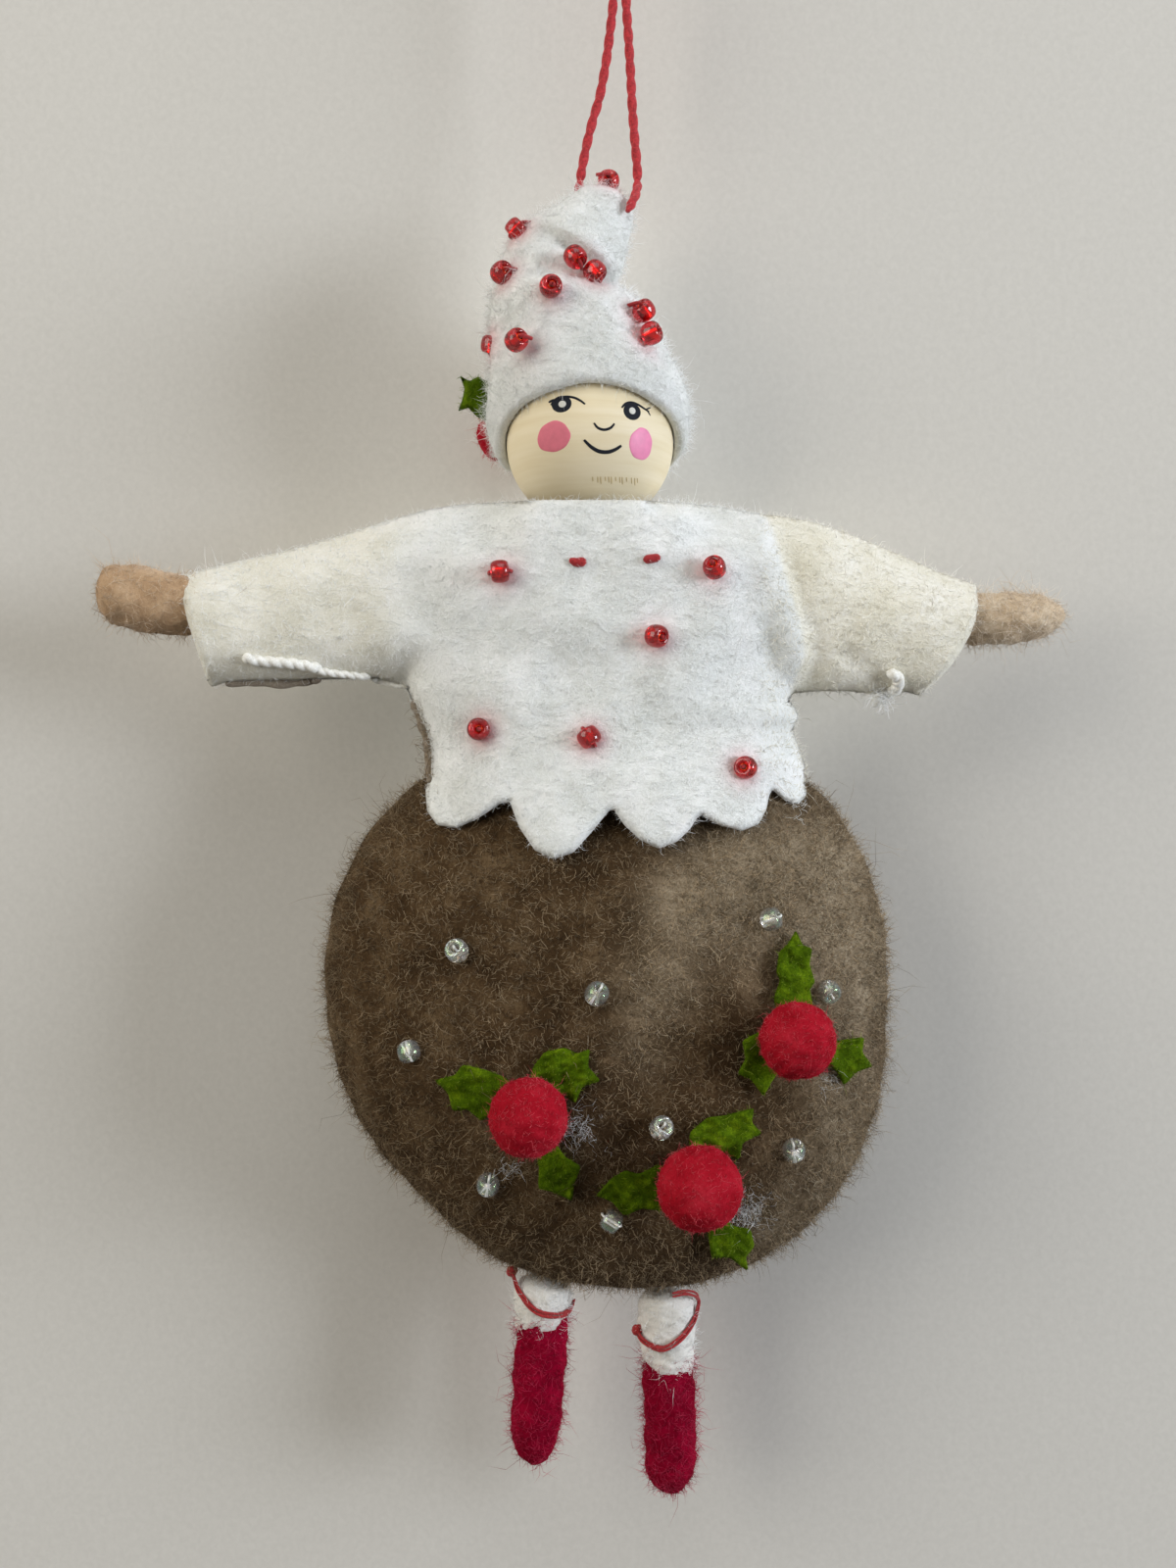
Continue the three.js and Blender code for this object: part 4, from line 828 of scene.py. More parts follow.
def felt_cutout(outline, depth, low=-99, high=99, side=-1, pitch=PITCH, wall=FELT):
    """A felt sheet cut to an outline in (x, z), as a grid whose edge points are moved onto the outline. Its
    middle stands at depth(x, z) on the front, or behind where side is 1, and its two faces lie half a wall
    off and meet in a round edge. low and high limit x, and cut the sheet there without rounding. Returns
    points, faces and which points lie on such a cut."""
    cells_x = np.arange(round(outline[:, 0].min() / pitch) - 1, round(outline[:, 0].max() / pitch) + 1)
    cells_z = np.arange(round(outline[:, 1].min() / pitch) - 1, round(outline[:, 1].max() / pitch) + 1)
    middle = np.stack(np.meshgrid(cells_x + 0.5, cells_z + 0.5, indexing="ij"), -1) * pitch
    whole = inside_outline(middle.reshape(-1, 2), outline).reshape(len(cells_x), len(cells_z))
    shown = whole & (middle[..., 0] > low) & (middle[..., 0] < high)
    around = np.zeros((len(cells_x) + 1, len(cells_z) + 1), int)
    for i in (0, 1):
        for k in (0, 1):
            around[i : i + len(cells_x), k : k + len(cells_z)] += whole
    cell_i, cell_k = np.nonzero(shown)
    rows = len(cells_z) + 1
    corner = cell_i * rows + cell_k
    quads = np.stack([corner, corner + rows, corner + rows + 1, corner + 1], -1)
    used, quads = np.unique(quads, return_inverse=True)
    quads = quads.reshape(-1, 4)
    flat = np.stack([cells_x[0] + used // rows, cells_z[0] + used % rows], -1) * pitch
    on_edge = around.ravel()[used] < 4
    gap, near = line_distance(flat, np.concatenate([outline, outline[:1]]))
    flat = np.where(on_edge[:, None], near, flat)
    gap = np.where(on_edge, 0, gap)
    half = wall / 2 * rounded(gap, wall * 0.7)
    stand = np.maximum(depth(flat[:, 0], flat[:, 1]), half + 0.02)
    top = seen_at(flat, stand + half)
    bottom = seen_at(flat, stand - half)
    count = len(flat)
    under = np.where(on_edge, np.arange(count), count + np.cumsum(~on_edge) - 1)
    points = np.concatenate([top, bottom[~on_edge]])
    edges = np.concatenate([quads[:, [k, (k + 1) % 4]] for k in range(4)])
    _, first, uses = np.unique(np.sort(edges, axis=1), axis=0, return_index=True, return_counts=True)
    rim = edges[first[uses == 1]]
    open_both = rim[~on_edge[rim].any(1)]
    walls = np.concatenate([under[open_both[:, ::-1]], open_both], 1)
    open_one = rim[on_edge[rim].sum(1) == 1]
    free = np.where(on_edge[open_one[:, 0]], open_one[:, 1], open_one[:, 0])
    corner_walls = np.column_stack([under[free], open_one])
    hard = np.zeros(len(points), bool)
    hard[walls] = True
    hard[corner_walls] = True
    points[:, 1] *= -side
    faces = [face for face in (quads[:, ::-1], under[quads], walls, corner_walls) if len(face)]
    return points, [face[:, ::-side] for face in faces], hard


def side_width(x, z):
    """Half the shirt's width at that height, on the side where x lies."""
    left = np.interp(-z, -LEFT_SIDE[::-1, 1], -LEFT_SIDE[::-1, 0])
    right = np.interp(-z, -RIGHT_SIDE[:, 1], RIGHT_SIDE[:, 0])
    return np.where(x < 0, left, right) + 0.1


def sleeve_depth(x, z):
    """Depth of a sleeve's front: half an oval between the top line and the seam under the arm."""
    top = np.interp(x, SHIRT_TOP_LINE[:, 0], SHIRT_TOP_LINE[:, 1])
    seam = np.where(x < 0, LEFT_SEAM_HEIGHT, RIGHT_SEAM_HEIGHT)
    bulge = np.interp(np.abs(x), SLEEVE_PLACES, SLEEVE_DEPTHS) - FELT / 2
    share = np.clip((z - seam) / np.maximum(top - seam, 0.1), 0, 1)
    return bulge * np.maximum(1 - np.abs(2 * share**0.9 - 1) ** 2.4, 0) ** 0.6 + 0.05


def bend_with_arm(piece):
    """Bakes a sleeve's piece's place into its points."""
    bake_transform(piece)


def sleeve_tone(points):
    """How yellowed the felt is: 0 on the shirt's body, 1 on the right sleeve, from the shoulder fold
    outwards, and up to 0.8 on the left."""
    fold = np.interp(-points[:, 2], -SHOULDER_FOLD[:, 1], SHOULDER_FOLD[:, 0])
    right = smooth(-0.5, 0.5, points[:, 0] - fold * 0.97) * (points[:, 2] > RIGHT_SEAM_HEIGHT - 0.4)
    left = 0.8 * smooth(20, 30, -points[:, 0])
    return right + left


def shirt_depth(x, z):
    """Depth of the middle of the shirt's front felt: an oval chest, deeper towards the hem where it lies on the
    pudding and pinched at the shoulders, joined smoothly to the sleeves, with folds along listed lines."""
    level = np.clip((SHIRT_TOP - z) / SHIRT_HEIGHT, 0, 1)
    out = np.clip(np.abs(x) / side_width(x, z), 0, 1)
    pinch = smooth(8.5, 14.6, np.abs(x + 1)) * (1 - smooth(0, 0.2, level))
    chest = (CHEST_DEPTH * np.interp(level, SHIRT_LEVELS, SHIRT_DEPTHS) - 0.4) * (1 - out**2.35) ** 0.43
    chest = chest * (1 - 0.5 * pinch)
    sleeve = sleeve_depth(x, z) * smooth(11, 19, np.abs(x))
    blend = 0.7  # millimetres over which the deeper of the two is rounded into the other
    both = blend * np.log(np.exp(chest / blend) + np.exp(sleeve / blend))
    both = np.where(np.abs(x) > 24, sleeve + (both - sleeve) * (1 - smooth(24, 28, np.abs(x))), both)
    places = np.stack([x, z], -1)
    top_gap, _ = line_distance(places, SHIRT_TOP_LINE)
    neck = 1 - smooth(6.2, 9.6, np.abs(x - HEAD_MIDDLE[0]))
    both = both * (neck + (1 - neck) * rounded(top_gap, 2.6))
    for line, width, height in FOLDS:
        gap, _ = line_distance(places, picture_line(line))
        both = both + height * np.exp(-((gap / width) ** 2)) * rounded(top_gap, 3.0)
    points = np.stack([x, 0 * x, z], -1)
    both = both + (0.2 * lumps(points, 12.0, 31) + 0.05 * lumps(points, 3.5, 32)) * smooth(0.6, 3, both)
    for side_line in (LEFT_SIDE, RIGHT_SIDE):
        both = both * rounded(line_distance(places, side_line)[0], 1.6)
    seat = seen_at(places, both)
    on_pudding = pudding_depth(seat[:, 0], seat[:, 2]) + FELT / 2 + 0.15
    covers = np.hypot(seat[:, 0], seat[:, 2] - PUDDING_MIDDLE) < PUDDING_RADIUS * 1.05
    both = np.where(covers & (on_pudding > FELT), np.maximum(both, on_pudding), both)
    return np.maximum(both, 0.02)


def felt_outside(points, normals):
    """The faces of front or back felt that look away from the body, and a quarter as much the edges."""
    return np.clip(np.sign(points[:, 1]) * normals[:, 1], 0, 1) + 0.25 * (np.abs(normals[:, 1]) < 0.5)


shirt_pieces = []
for side, word, count in ((-1, "front", 18000), (1, "back", 7000)):
    points, faces, hard = felt_cutout(SHIRT_OUTLINE, shirt_depth, -SPLIT, SPLIT, side)
    body = make_piece(
        f"shirt_{word}_felt", points, faces, white_felt, "torso", f"shirt_{word}", "white_felt",
        tone=sleeve_tone(points), hard=hard,
    )
    pile = fuzz(
        f"shirt_{word}_fuzz", body, count, 1.2, white_fibres, 41 + side, 0.2, 0.026, 0.6, felt_outside,
        slot="white_felt",
    )
    shirt_pieces += [body, pile]

for word, low, high, fibres, seed, thick in (
    ("left", -99, -SPLIT, white_fibres, 51, 0.028),
    ("right", SPLIT, 99, ivory_fibres, 61, 0.036),
):
    halves = [felt_cutout(SHIRT_OUTLINE, shirt_depth, low, high, side) for side in (-1, 1)]
    points, faces = together([half[:2] for half in halves])
    sleeve = make_piece(
        f"{word}_sleeve_felt", points, faces, white_felt, None, f"{word}_sleeve", "white_felt",
        tone=sleeve_tone(points), hard=np.concatenate([half[2] for half in halves]),
    )
    pile = fuzz(
        f"{word}_sleeve_fuzz", sleeve, 8500, 1.2, fibres, seed, 0.2, thick, 0.7, felt_outside, slot="white_felt"
    )
    for piece in (sleeve, pile):
        bend_with_arm(piece)


# ---- hat ----
HAT_ROWS = [
    ((610, 190), (632, 196)), ((596, 192), (642, 208)), ((586, 199), (645, 221)), ((568, 212), (641, 234)),
    ((543, 227), (637, 246)), ((522, 246), (633, 260)), ((510, 274), (627, 279)), ((504, 292), (622, 293)),
    ((501, 306), (642, 304)), ((499, 322), (655, 318)), ((499, 346), (672, 346)), ((498, 378), (687, 378)),
    ((497, 410), (702, 408)), ((498, 436), (702, 434)), ((503, 455), (696, 458)), ((512, 476), (684, 480)),
]  # picture places of the hat's left and right outline, from the tip down
HAT_CREASE = picture_line([(548, 236), (574, 252), (597, 272), (620, 292)])
HAT_AXIS = -3.2  # x of the line up the hat's middle
HAT_WALL = 1.6
HAT_HEIGHT = 34.0
BRIM_SIDE, BRIM_FRONT, BRIM_BACK = -1.5, 8.1, -0.9  # from the ball's middle, and how far front and back differ


def hat_outline():
    """The hat's outer surface before its felt is drawn: slanting ovals between its left and right outlines,
    down to a brim that is high over the face and low behind. Returns its rings, their middles, each point's
    share of the way down, its distance from the brim and how far it faces the viewer."""
    fine, columns = 180, 210
    left, right = (curve_through(picture_line([row[k] for row in HAT_ROWS]), fine) for k in (0, 1))
    middle, reach = (left + right) / 2, (right - left) / 2
    turn = np.linspace(-np.pi, np.pi, columns, endpoint=False)
    facing = np.cos(turn)
    lift = np.where(facing > 0, BRIM_FRONT * np.clip(facing, 0, 1) ** 0.8, BRIM_BACK * smooth(0, 0.35, -facing))
    brim = HEAD_MIDDLE[2] + BRIM_SIDE + lift + 0.15 * np.sin(5 * turn + 1)
    down = np.interp(-brim, -middle[:, 1], np.arange(fine))
    rows = np.linspace(0, 1, 150)[:, None] ** 0.9 * down
    row = np.minimum(rows.astype(int), fine - 2)
    share = (rows - row)[..., None]
    middle, reach = (line[row] * (1 - share) + line[row + 1] * share for line in (middle, reach))
    width = np.linalg.norm(reach, axis=-1)
    flatness = 0.6 + 0.38 * smooth(0.1, 0.6, rows / fine)
    brim_gap = (down - rows) / fine * HAT_HEIGHT
    swell = 0.2 * np.exp(-((brim_gap / 1.5) ** 2)) * (facing > -0.2)
    x = middle[..., 0] + (reach[..., 0] + swell) * np.sin(turn)
    z = middle[..., 1] + reach[..., 1] * np.sin(turn)
    outer = np.stack([x, -(width + swell) * flatness * facing, z], -1)
    axis = np.stack([middle[..., 0], 0 * x, z], -1)
    return outer, axis, rows / fine, brim_gap, turn


def wrap_fold(outer, facing):
    """How far the felt stands out along the crease that runs in from the notch on the right: by almost its
    thickness above it, because the tip is folded over the wrap, with a groove just below."""
    gap, near = line_distance(outer[..., [0, 2]].reshape(-1, 2), HAT_CREASE)
    gap, near = gap.reshape(outer.shape[:2]), near.reshape(outer.shape[:2] + (2,))
    above = gap * np.sign(outer[..., 2] - near[..., 1])
    fold = 1.3 * smooth(-0.35, 0.35, above) * np.exp(-((np.clip(above, 0, None) / 5) ** 2))
    fold -= 0.9 * np.exp(-(((above + 0.6) / 0.8) ** 2))
    fade = smooth(-9.5, -3.5, near[..., 0]) * smooth(-0.4, 0.1, facing)
    return fold * fade


def hat_rings():
    """The hat's whole skin: the outer surface with its lumps and its fold, kept close round the ball near the
    brim, then round the thick edge and back up inside over the ball."""
    outer, axis, share, brim_gap, turn = hat_outline()
    facing = np.cos(turn)
    relief = 0.22 * lumps(outer, 8.0, 71) + 0.07 * lumps(outer, 2.6, 72) + wrap_fold(outer, facing)
    outer = outer + unit(outer - axis) * (relief * rounded(share, 0.06))[..., None]
    reach_out = np.linalg.norm(outer - HEAD_MIDDLE, axis=-1)
    allowed = HEAD_RADIUS + HAT_WALL + 0.8 * brim_gap + 0.05 * brim_gap**2
    outer = HEAD_MIDDLE + (outer - HEAD_MIDDLE) * np.minimum(1, allowed / reach_out)[..., None]
    edge = outer[-1]
    sphere = HEAD_RADIUS + 0.15

    def ball_ring(height):
        """A ring round the ball, a hair off it, at one height for each column."""
        radius = np.sqrt(np.maximum(sphere**2 - (height - HEAD_MIDDLE[2]) ** 2, 0.01))
        return np.stack([HEAD_MIDDLE[0] + radius * np.sin(turn), -radius * facing, height], -1)

    inside = ball_ring(edge[:, 2])
    thick = np.linalg.norm(inside - edge, axis=1, keepdims=True) / 2
    roll = [
        edge + (inside - edge) * (1 - np.cos(a)) / 2 - np.array([0, 0, 0.8]) * thick * np.sin(a)
        for a in np.linspace(0.35, np.pi, 8)
    ]
    rise = HEAD_MIDDLE[2] + sphere - 0.05 - edge[:, 2]
    inner = [ball_ring(edge[:, 2] + rise * np.sin(part * np.pi / 2)) for part in (0.15, 0.35, 0.6, 0.85, 1)]
    return np.concatenate([outer, np.stack(roll), np.stack(inner)])


def hat_outside(points, normals):
    """The faces that look away from an upright line through the hat's middle."""
    middle = np.array([points[:, 0].mean(), 0, 0])
    return ((points - middle) * normals)[:, :2].sum(1) > 0


hat = make_piece("hat_felt", *skin(hat_rings()), white_felt, "head", "hat", "white_felt")
hat_pile = fuzz(
    "hat_fuzz", hat, 18500, 1.6, white_fibres, 73, 0.3, 0.026, 0.6, hat_outside, slot="white_felt"
)


# ---- head: the turned ball and its drawn face ----
def on_face(across, up, lift=0.0):
    """A point on the ball's front, given in millimetres right of and above its middle."""
    across, up = np.asarray(across, float), np.asarray(up, float)
    depth = np.sqrt(np.maximum(HEAD_RADIUS**2 - across**2 - up**2, 0))
    point = np.stack([across, -depth, up], -1)
    return HEAD_MIDDLE + point * (1 + lift / HEAD_RADIUS)


def turned_ball():
    """The ball as a lathe would turn it: a circle's profile, a flat round the bore below, and the bore
    itself, 8 mm deep with a chamfered mouth."""
    flat, bore = 3.0, 1.6  # radii
    angle = np.linspace(0.02, np.pi - np.arcsin(flat / HEAD_RADIUS), 90)
    radius = HEAD_RADIUS * np.sin(angle)
    height = HEAD_RADIUS * np.cos(angle)
    radius = np.concatenate([radius, [bore + 0.3, bore, bore, bore * 0.02]])
    low = height[-1]
    height = np.concatenate([height, [low, low + 0.3, low + 8, low + 8.2]])
    turn = full_turn(144)
    rings = np.stack(
        [radius[:, None] * np.sin(turn), -radius[:, None] * np.cos(turn), height[:, None] + 0 * turn], -1
    )
    return skin(rings + HEAD_MIDDLE)


def stroke(points, wide, thick=0.05):
    """A line of ink on the ball through (across, up) points, swelling to its width in the middle."""
    flat = curve_through(points, 36)
    path = on_face(flat[:, 0], flat[:, 1], 0.01)
    swell = 0.45 + 0.55 * np.sin(np.linspace(0.15, np.pi - 0.15, len(path))) ** 0.6
    return skin(sweep(path, path - HEAD_MIDDLE, thick, wide / 2 * swell, columns=8))


def spot(across, up, wide, high, tilt=0.0, wobble=0.0, seed=1, lift=0.05):
    """A painted spot on the ball: an oval of ten rings, its edge uneven by the wobble."""
    random = np.random.default_rng(seed)
    turn = full_turn(64)
    uneven = 1 + wobble * sum(np.sin(k * turn + random.uniform(0, 6)) / k for k in (3, 5, 8))
    share = np.append(np.linspace(0.02, 0.97, 9), 1.0)[:, None]
    u, v = wide / 2 * share * uneven * np.cos(turn), high / 2 * share * uneven * np.sin(turn)
    x = across + u * np.cos(tilt) - v * np.sin(tilt)
    z = up + u * np.sin(tilt) + v * np.cos(tilt)
    rise = lift * rounded(1 - share, 0.08) + 0 * x
    top = on_face(x, z) + unit(on_face(x, z) - HEAD_MIDDLE) * rise[..., None]
    under = on_face(x[::-1], z[::-1], -0.15)
    return skin(np.concatenate([top, under]))


make_piece("head_wood", *turned_ball(), birch, "head", "head", "turned_wood")
LEFT_EYE, RIGHT_EYE = (-3.33, 2.62), (4.93, 1.88)
INK_LINES = [
    ([(-4.6, 2.6), (-4.1, 3.2), (-3.1, 3.5), (-2.0, 3.35), (-1.2, 2.95), (-0.58, 2.45)], 0.32),
    ([(-4.85, 3.0), (-4.4, 3.15), (-4.0, 3.2)], 0.4),
    ([(3.7, 2.2), (4.2, 2.75), (4.9, 2.98), (5.7, 2.8), (6.4, 2.45), (6.96, 2.2)], 0.34),
    ([(6.6, 2.4), (6.9, 2.6), (7.15, 2.8)], 0.2),
    ([(6.7, 2.3), (6.95, 2.0), (7.1, 1.75)], 0.2),
    ([(0.45, 0.2), (0.9, -0.35), (1.65, -0.56), (2.4, -0.3), (2.84, 0.2)], 0.32),
    ([(-0.7, -1.75), (0.1, -2.5), (1.0, -2.98), (2.0, -3.05), (2.9, -2.75), (3.65, -2.25)], 0.46),
]  # the eyes' lids and lashes, the nose and the mouth: millimetres on the ball, and width
GRAIN_PLACES = (0.3, 0.9, 1.25, 1.8, 2.2, 2.5, 3.0, 3.5, 3.8, 4.3, 4.9, 5.3, 5.6)
ink = [spot(*LEFT_EYE, 2.35, 2.1, lift=0.04, seed=2), spot(*RIGHT_EYE, 2.05, 2.1, lift=0.04, seed=3)]
ink += [stroke(line, wide) for line, wide in INK_LINES]
lights = [
    spot(LEFT_EYE[0] + 0.1, LEFT_EYE[1] - 0.05, 0.9, 0.85, lift=0.09, seed=4),
    spot(RIGHT_EYE[0], RIGHT_EYE[1] + 0.05, 0.75, 0.85, lift=0.09, seed=5),
]
ticks = [
    stroke([(a, -5.75 + 0.04 * a), (a + 0.05, -6.2 - 0.15 * (k % 3) + 0.04 * a)], 0.16, 0.03)
    for k, a in enumerate(GRAIN_PLACES)
]
for name, shape, coat in (
    ("face_ink_lines", together(ink), slate_ink),
    ("face_eye_lights", together(lights), eye_paint),
    ("face_left_cheek", spot(-4.25, -1.15, 3.9, 3.55, 0.1, 0.07, 6, 0.03), left_rouge),
    ("face_right_cheek", spot(5.98, -1.76, 2.7, 3.7, -0.2, 0.07, 7, 0.03), right_rouge),
    ("face_grain_ticks", together(ticks), brushed_grain),
):
    make_piece(name, *shape, coat, "head")


# ---- arms, legs and boots: needle-felted rolls ----
def wool_roll(stations, seed):
    """A felted roll through stations (picture across and down, radius in millimetres): its middle line and
    its radius are smooth curves, and its skin is lumpy by 0.12 mm, less where it is drawn in to a point."""
    stations = np.array(stations, float)
    path = curve_through(seen_at(from_picture(stations[:, 0], stations[:, 1]), 0.0), 90)
    radius = curve_through(stations[:, 2:], 90)[:, 0]
    rings = sweep(path, towards_viewer(90), np.maximum(radius, 0.05), columns=60)
    bumps = 0.12 * (lumps(rings, 3.2, seed) + 0.6 * lumps(rings, 1.2, seed + 1))
    return rings + unit(rings - path[:, None]) * (bumps * rounded(radius, 1.0)[:, None])[..., None]


ROLLS = {
    "left_arm": [
        (445, 621, 2.9), (380, 621, 2.9), (300, 620, 2.9), (220, 619, 2.95), (186, 618, 3.7),
        (150, 612, 3.85), (118, 606, 3.6), (104, 605, 2.3), (99, 605, 0.1),
    ],
    "right_arm": [
        (793, 627, 2.9), (860, 627, 2.9), (930, 628, 2.9), (968, 630, 2.95), (1000, 632, 3.05),
        (1035, 631, 3.05), (1064, 629, 2.5), (1080, 628, 1.4), (1087, 628, 0.1),
    ],
    "left_leg": [
        (555, 1304, 1.2), (554, 1310, 3.0), (554, 1322, 3.35), (553, 1336, 3.3), (552, 1350, 3.0),
        (552, 1368, 1.9),
    ],
    "right_leg": [
        (680, 1316, 1.2), (680, 1322, 3.1), (680, 1338, 3.5), (680, 1358, 3.45), (681, 1376, 3.25),
        (682, 1394, 3.0), (682, 1410, 1.9),
    ],
    "left_boot": [
        (554, 1343, 2.6), (554, 1346, 3.1), (552, 1376, 3.15), (550, 1410, 3.1), (547, 1445, 3.0),
        (546, 1472, 2.6), (548, 1489, 1.3), (549, 1494, 0.1),
    ],
    "right_boot": [
        (681, 1380, 2.6), (681, 1384, 2.95), (682, 1412, 3.15), (684, 1446, 3.1), (684, 1480, 3.1),
        (684, 1503, 2.7), (685, 1518, 1.4), (685, 1523, 0.1),
    ],
}  # stations: picture across and down, radius
ROLL_FINISHES = {
    "left_arm": (tan_felt, "tan_wool", tan_fibres, 3600, 1.9),
    # The right hand's paler wool is painted light from the right.
    "right_arm": (painted_lit_tan_felt, "tan_wool", painted_lit_tan_fibres, 4600, 2.2),
    "left_leg": (leg_felt, "white_wool", white_fibres, 1200, 1.4),
    "right_leg": (leg_felt, "white_wool", white_fibres, 1500, 1.4),
    "left_boot": (crimson_felt, "crimson_wool", crimson_fibres, 3600, 1.6),
    "right_boot": (crimson_felt, "crimson_wool", crimson_fibres, 3600, 1.6),
}  # felt, slot, and the pile's fibres, their count and their length
rolls = [
    make_piece(
        f"{node}_wool", *skin(wool_roll(stations, 81 + 2 * k)), ROLL_FINISHES[node][0],
        node.replace("boot", "leg"), node, ROLL_FINISHES[node][1],
    )
    for k, (node, stations) in enumerate(ROLLS.items())
]
for k, (node, roll) in enumerate(zip(ROLLS, rolls)):
    _, slot, fibres, count, length = ROLL_FINISHES[node]
    fuzz(f"{node}_fuzz", roll, count, length, fibres, 101 + 2 * k, 0.2, curl=0.8, stray=0.04, slot=slot)


def felted_ball(middle, diameter, seed):
    """A needle-felted ball: a sphere of rings with soft lumps, 0.1 and 0.05 mm high."""
    angle = np.linspace(0.03, np.pi - 0.03, 48)[:, None]
    turn = full_turn(72)
    ball = np.stack([np.sin(angle) * np.cos(turn), np.sin(angle) * np.sin(turn), np.cos(angle) + 0 * turn], -1)
    relief = 0.1 * lumps(ball * diameter, 4.0, seed), 0.05 * lumps(ball * diameter, 1.2, seed + 1)
    return skin(middle + ball * (diameter / 2 + relief[0] + relief[1])[..., None])


# ---- floss round the legs ----
def floss(name, points, depth_radius, middle, body, node):
    """A floss of three plies laid side by side round a leg: picture places give its path across the front,
    and its depth follows a circle round the leg's middle. The plies wind 0.8 of a turn. A ball closes its
    first end."""
    flat = curve_through(picture_line(points), 90)
    off = np.clip((flat[:, 0] - middle) / depth_radius, -1, 1)
    path = seen_at(flat, depth_radius * np.sqrt(1 - off**2) + 0.1)
    outward = unit(path - np.stack([np.full(90, middle), 0 * off, path[:, 2]], -1))
    across = np.cross(unit(np.gradient(path, axis=0)), outward)
    ends = 0.5 + 0.5 * np.sin(np.linspace(0.1, np.pi - 0.1, 90)) ** 0.5
    plies = []
    for start in (0, 2 * np.pi / 3, 4 * np.pi / 3):
        turn = start + np.linspace(0, 1.6 * np.pi, 90)[:, None]
        ply = path + 0.272 * (across * np.cos(turn) + 0.4 * outward * np.sin(turn))
        plies.append(skin(sweep(ply, outward, 0.15 * ends, 0.17 * ends, 8)))
    plies.append(felted_ball(path[0], 1.3, 201))
    make_piece(name, *together(plies), red_floss, body, node, "red_thread")


LEFT_FLOSS = [
    (522, 1296), (525, 1305), (530, 1319), (540, 1332), (552, 1340), (566, 1343), (576, 1341), (583, 1334),
    (586, 1326),
]
RIGHT_FLOSS = [
    (650, 1356), (652, 1362), (656, 1368), (663, 1373), (677, 1376), (693, 1367), (705, 1353), (711, 1339),
    (712, 1324), (700, 1319), (686, 1321),
]
floss("left_leg_floss", LEFT_FLOSS, 3.6, -7.9, "left_leg", "left_leg_thread")
floss("right_leg_floss", RIGHT_FLOSS, 3.8, 7.4, "right_leg", "right_leg_thread")


# ---- holly and berries on the pudding ----
LEAVES = {
    1: [
        [(538, 1120), (515, 1099), (497, 1092), (472, 1086), (464, 1097), (443, 1102), (457, 1115),
         (462, 1134), (477, 1132), (491, 1144), (505, 1135), (530, 1140)],
        [(538, 1125), (543, 1090), (556, 1073), (577, 1069), (589, 1075), (602, 1070), (600, 1088),
         (613, 1103), (594, 1109), (587, 1126), (572, 1116), (556, 1135)],
        [(540, 1155), (550, 1190), (549, 1213), (566, 1217), (584, 1226), (586, 1208), (593, 1190),
         (576, 1180), (560, 1155)],
    ],
    2: [
        [(800, 1050), (789, 1020), (796, 1000), (792, 992), (795, 971), (804, 963), (812, 949), (819, 964),
         (829, 968), (826, 984), (832, 1002), (826, 1010), (830, 1026), (826, 1050)],
        [(805, 1055), (780, 1050), (757, 1062), (761, 1080), (752, 1096), (766, 1101), (779, 1119),
         (788, 1103), (802, 1085)],
        [(830, 1050), (853, 1062), (882, 1058), (880, 1074), (891, 1088), (874, 1094), (861, 1108),
         (853, 1092), (830, 1080)],
    ],
    3: [
        [(705, 1200), (703, 1156), (722, 1140), (740, 1138), (770, 1130), (767, 1145), (778, 1157),
         (758, 1166), (754, 1185), (737, 1176), (730, 1200)],
        [(712, 1200), (672, 1188), (652, 1198), (638, 1194), (624, 1202), (608, 1220), (624, 1226),
         (637, 1241), (655, 1233), (675, 1236), (700, 1230)],
        [(715, 1225), (722, 1255), (726, 1284), (744, 1283), (764, 1298), (761, 1283), (770, 1272),
         (766, 1254), (745, 1250), (735, 1225)],
    ],
}  # picture places round each leaf; its root lies under the berry
HAT_LEAF = [
    (515, 390), (498, 390), (488, 384), (479, 389), (469, 383), (474, 396), (472, 407), (467, 420),
    (478, 416), (486, 425), (497, 431), (515, 430),
]
BERRIES = {1: (539, 1140, 0.97), 2: (814, 1062, 0.95), 3: (714, 1213, 1.05)}  # picture place and size
LEAF_WALL = 1.0
BERRY_DIAMETER = 9.0
HAT_BERRY_DIAMETER = 6.4
HAT_BERRY_SHIFT = np.array([2.4, 0.4, 1.4])  # from its CAD node's middle to where the picture shows it


def rounded_outline(points, count=6):
    """A closed outline whose corners are a little rounded: each side's points with the corners cut by a
    tenth."""
    points = picture_line(points)
    after = np.roll(points, -1, axis=0)
    share = np.linspace(0.1, 0.9, count)[:, None, None]
    return (points * (1 - share) + after * share).transpose(1, 0, 2).reshape(-1, 2)


def leaf_lift(outline, seed):
    """Depth of a leaf over the pudding: it lies on the felt, its edge curls up and the cloth is crinkled."""
    def depth(x, z):
        """The pudding's depth, 0.8 mm more, the crinkle, and 0.35 mm at the edge that fades over 0.5 mm."""
        places = np.stack([x, z], -1)
        gap, _ = line_distance(places, np.concatenate([outline, outline[:1]]))
        points = np.stack([x, 0 * x, z], -1)
        seat = seen_at(places, TRIM_DEPTH)
        crinkle = 0.18 * lumps(points, 1.1, seed) + 0.25 * lumps(points, 4.0, seed + 1)
        return pudding_depth(seat[..., 0], seat[..., 2]) + 0.8 + crinkle + 0.35 * np.exp(-gap / 0.5)
    return depth


def box_middle(node):
    """The middle of a CAD node's box, in millimetres."""
    low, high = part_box(node)
    return np.array((low + high) / 2) / MM


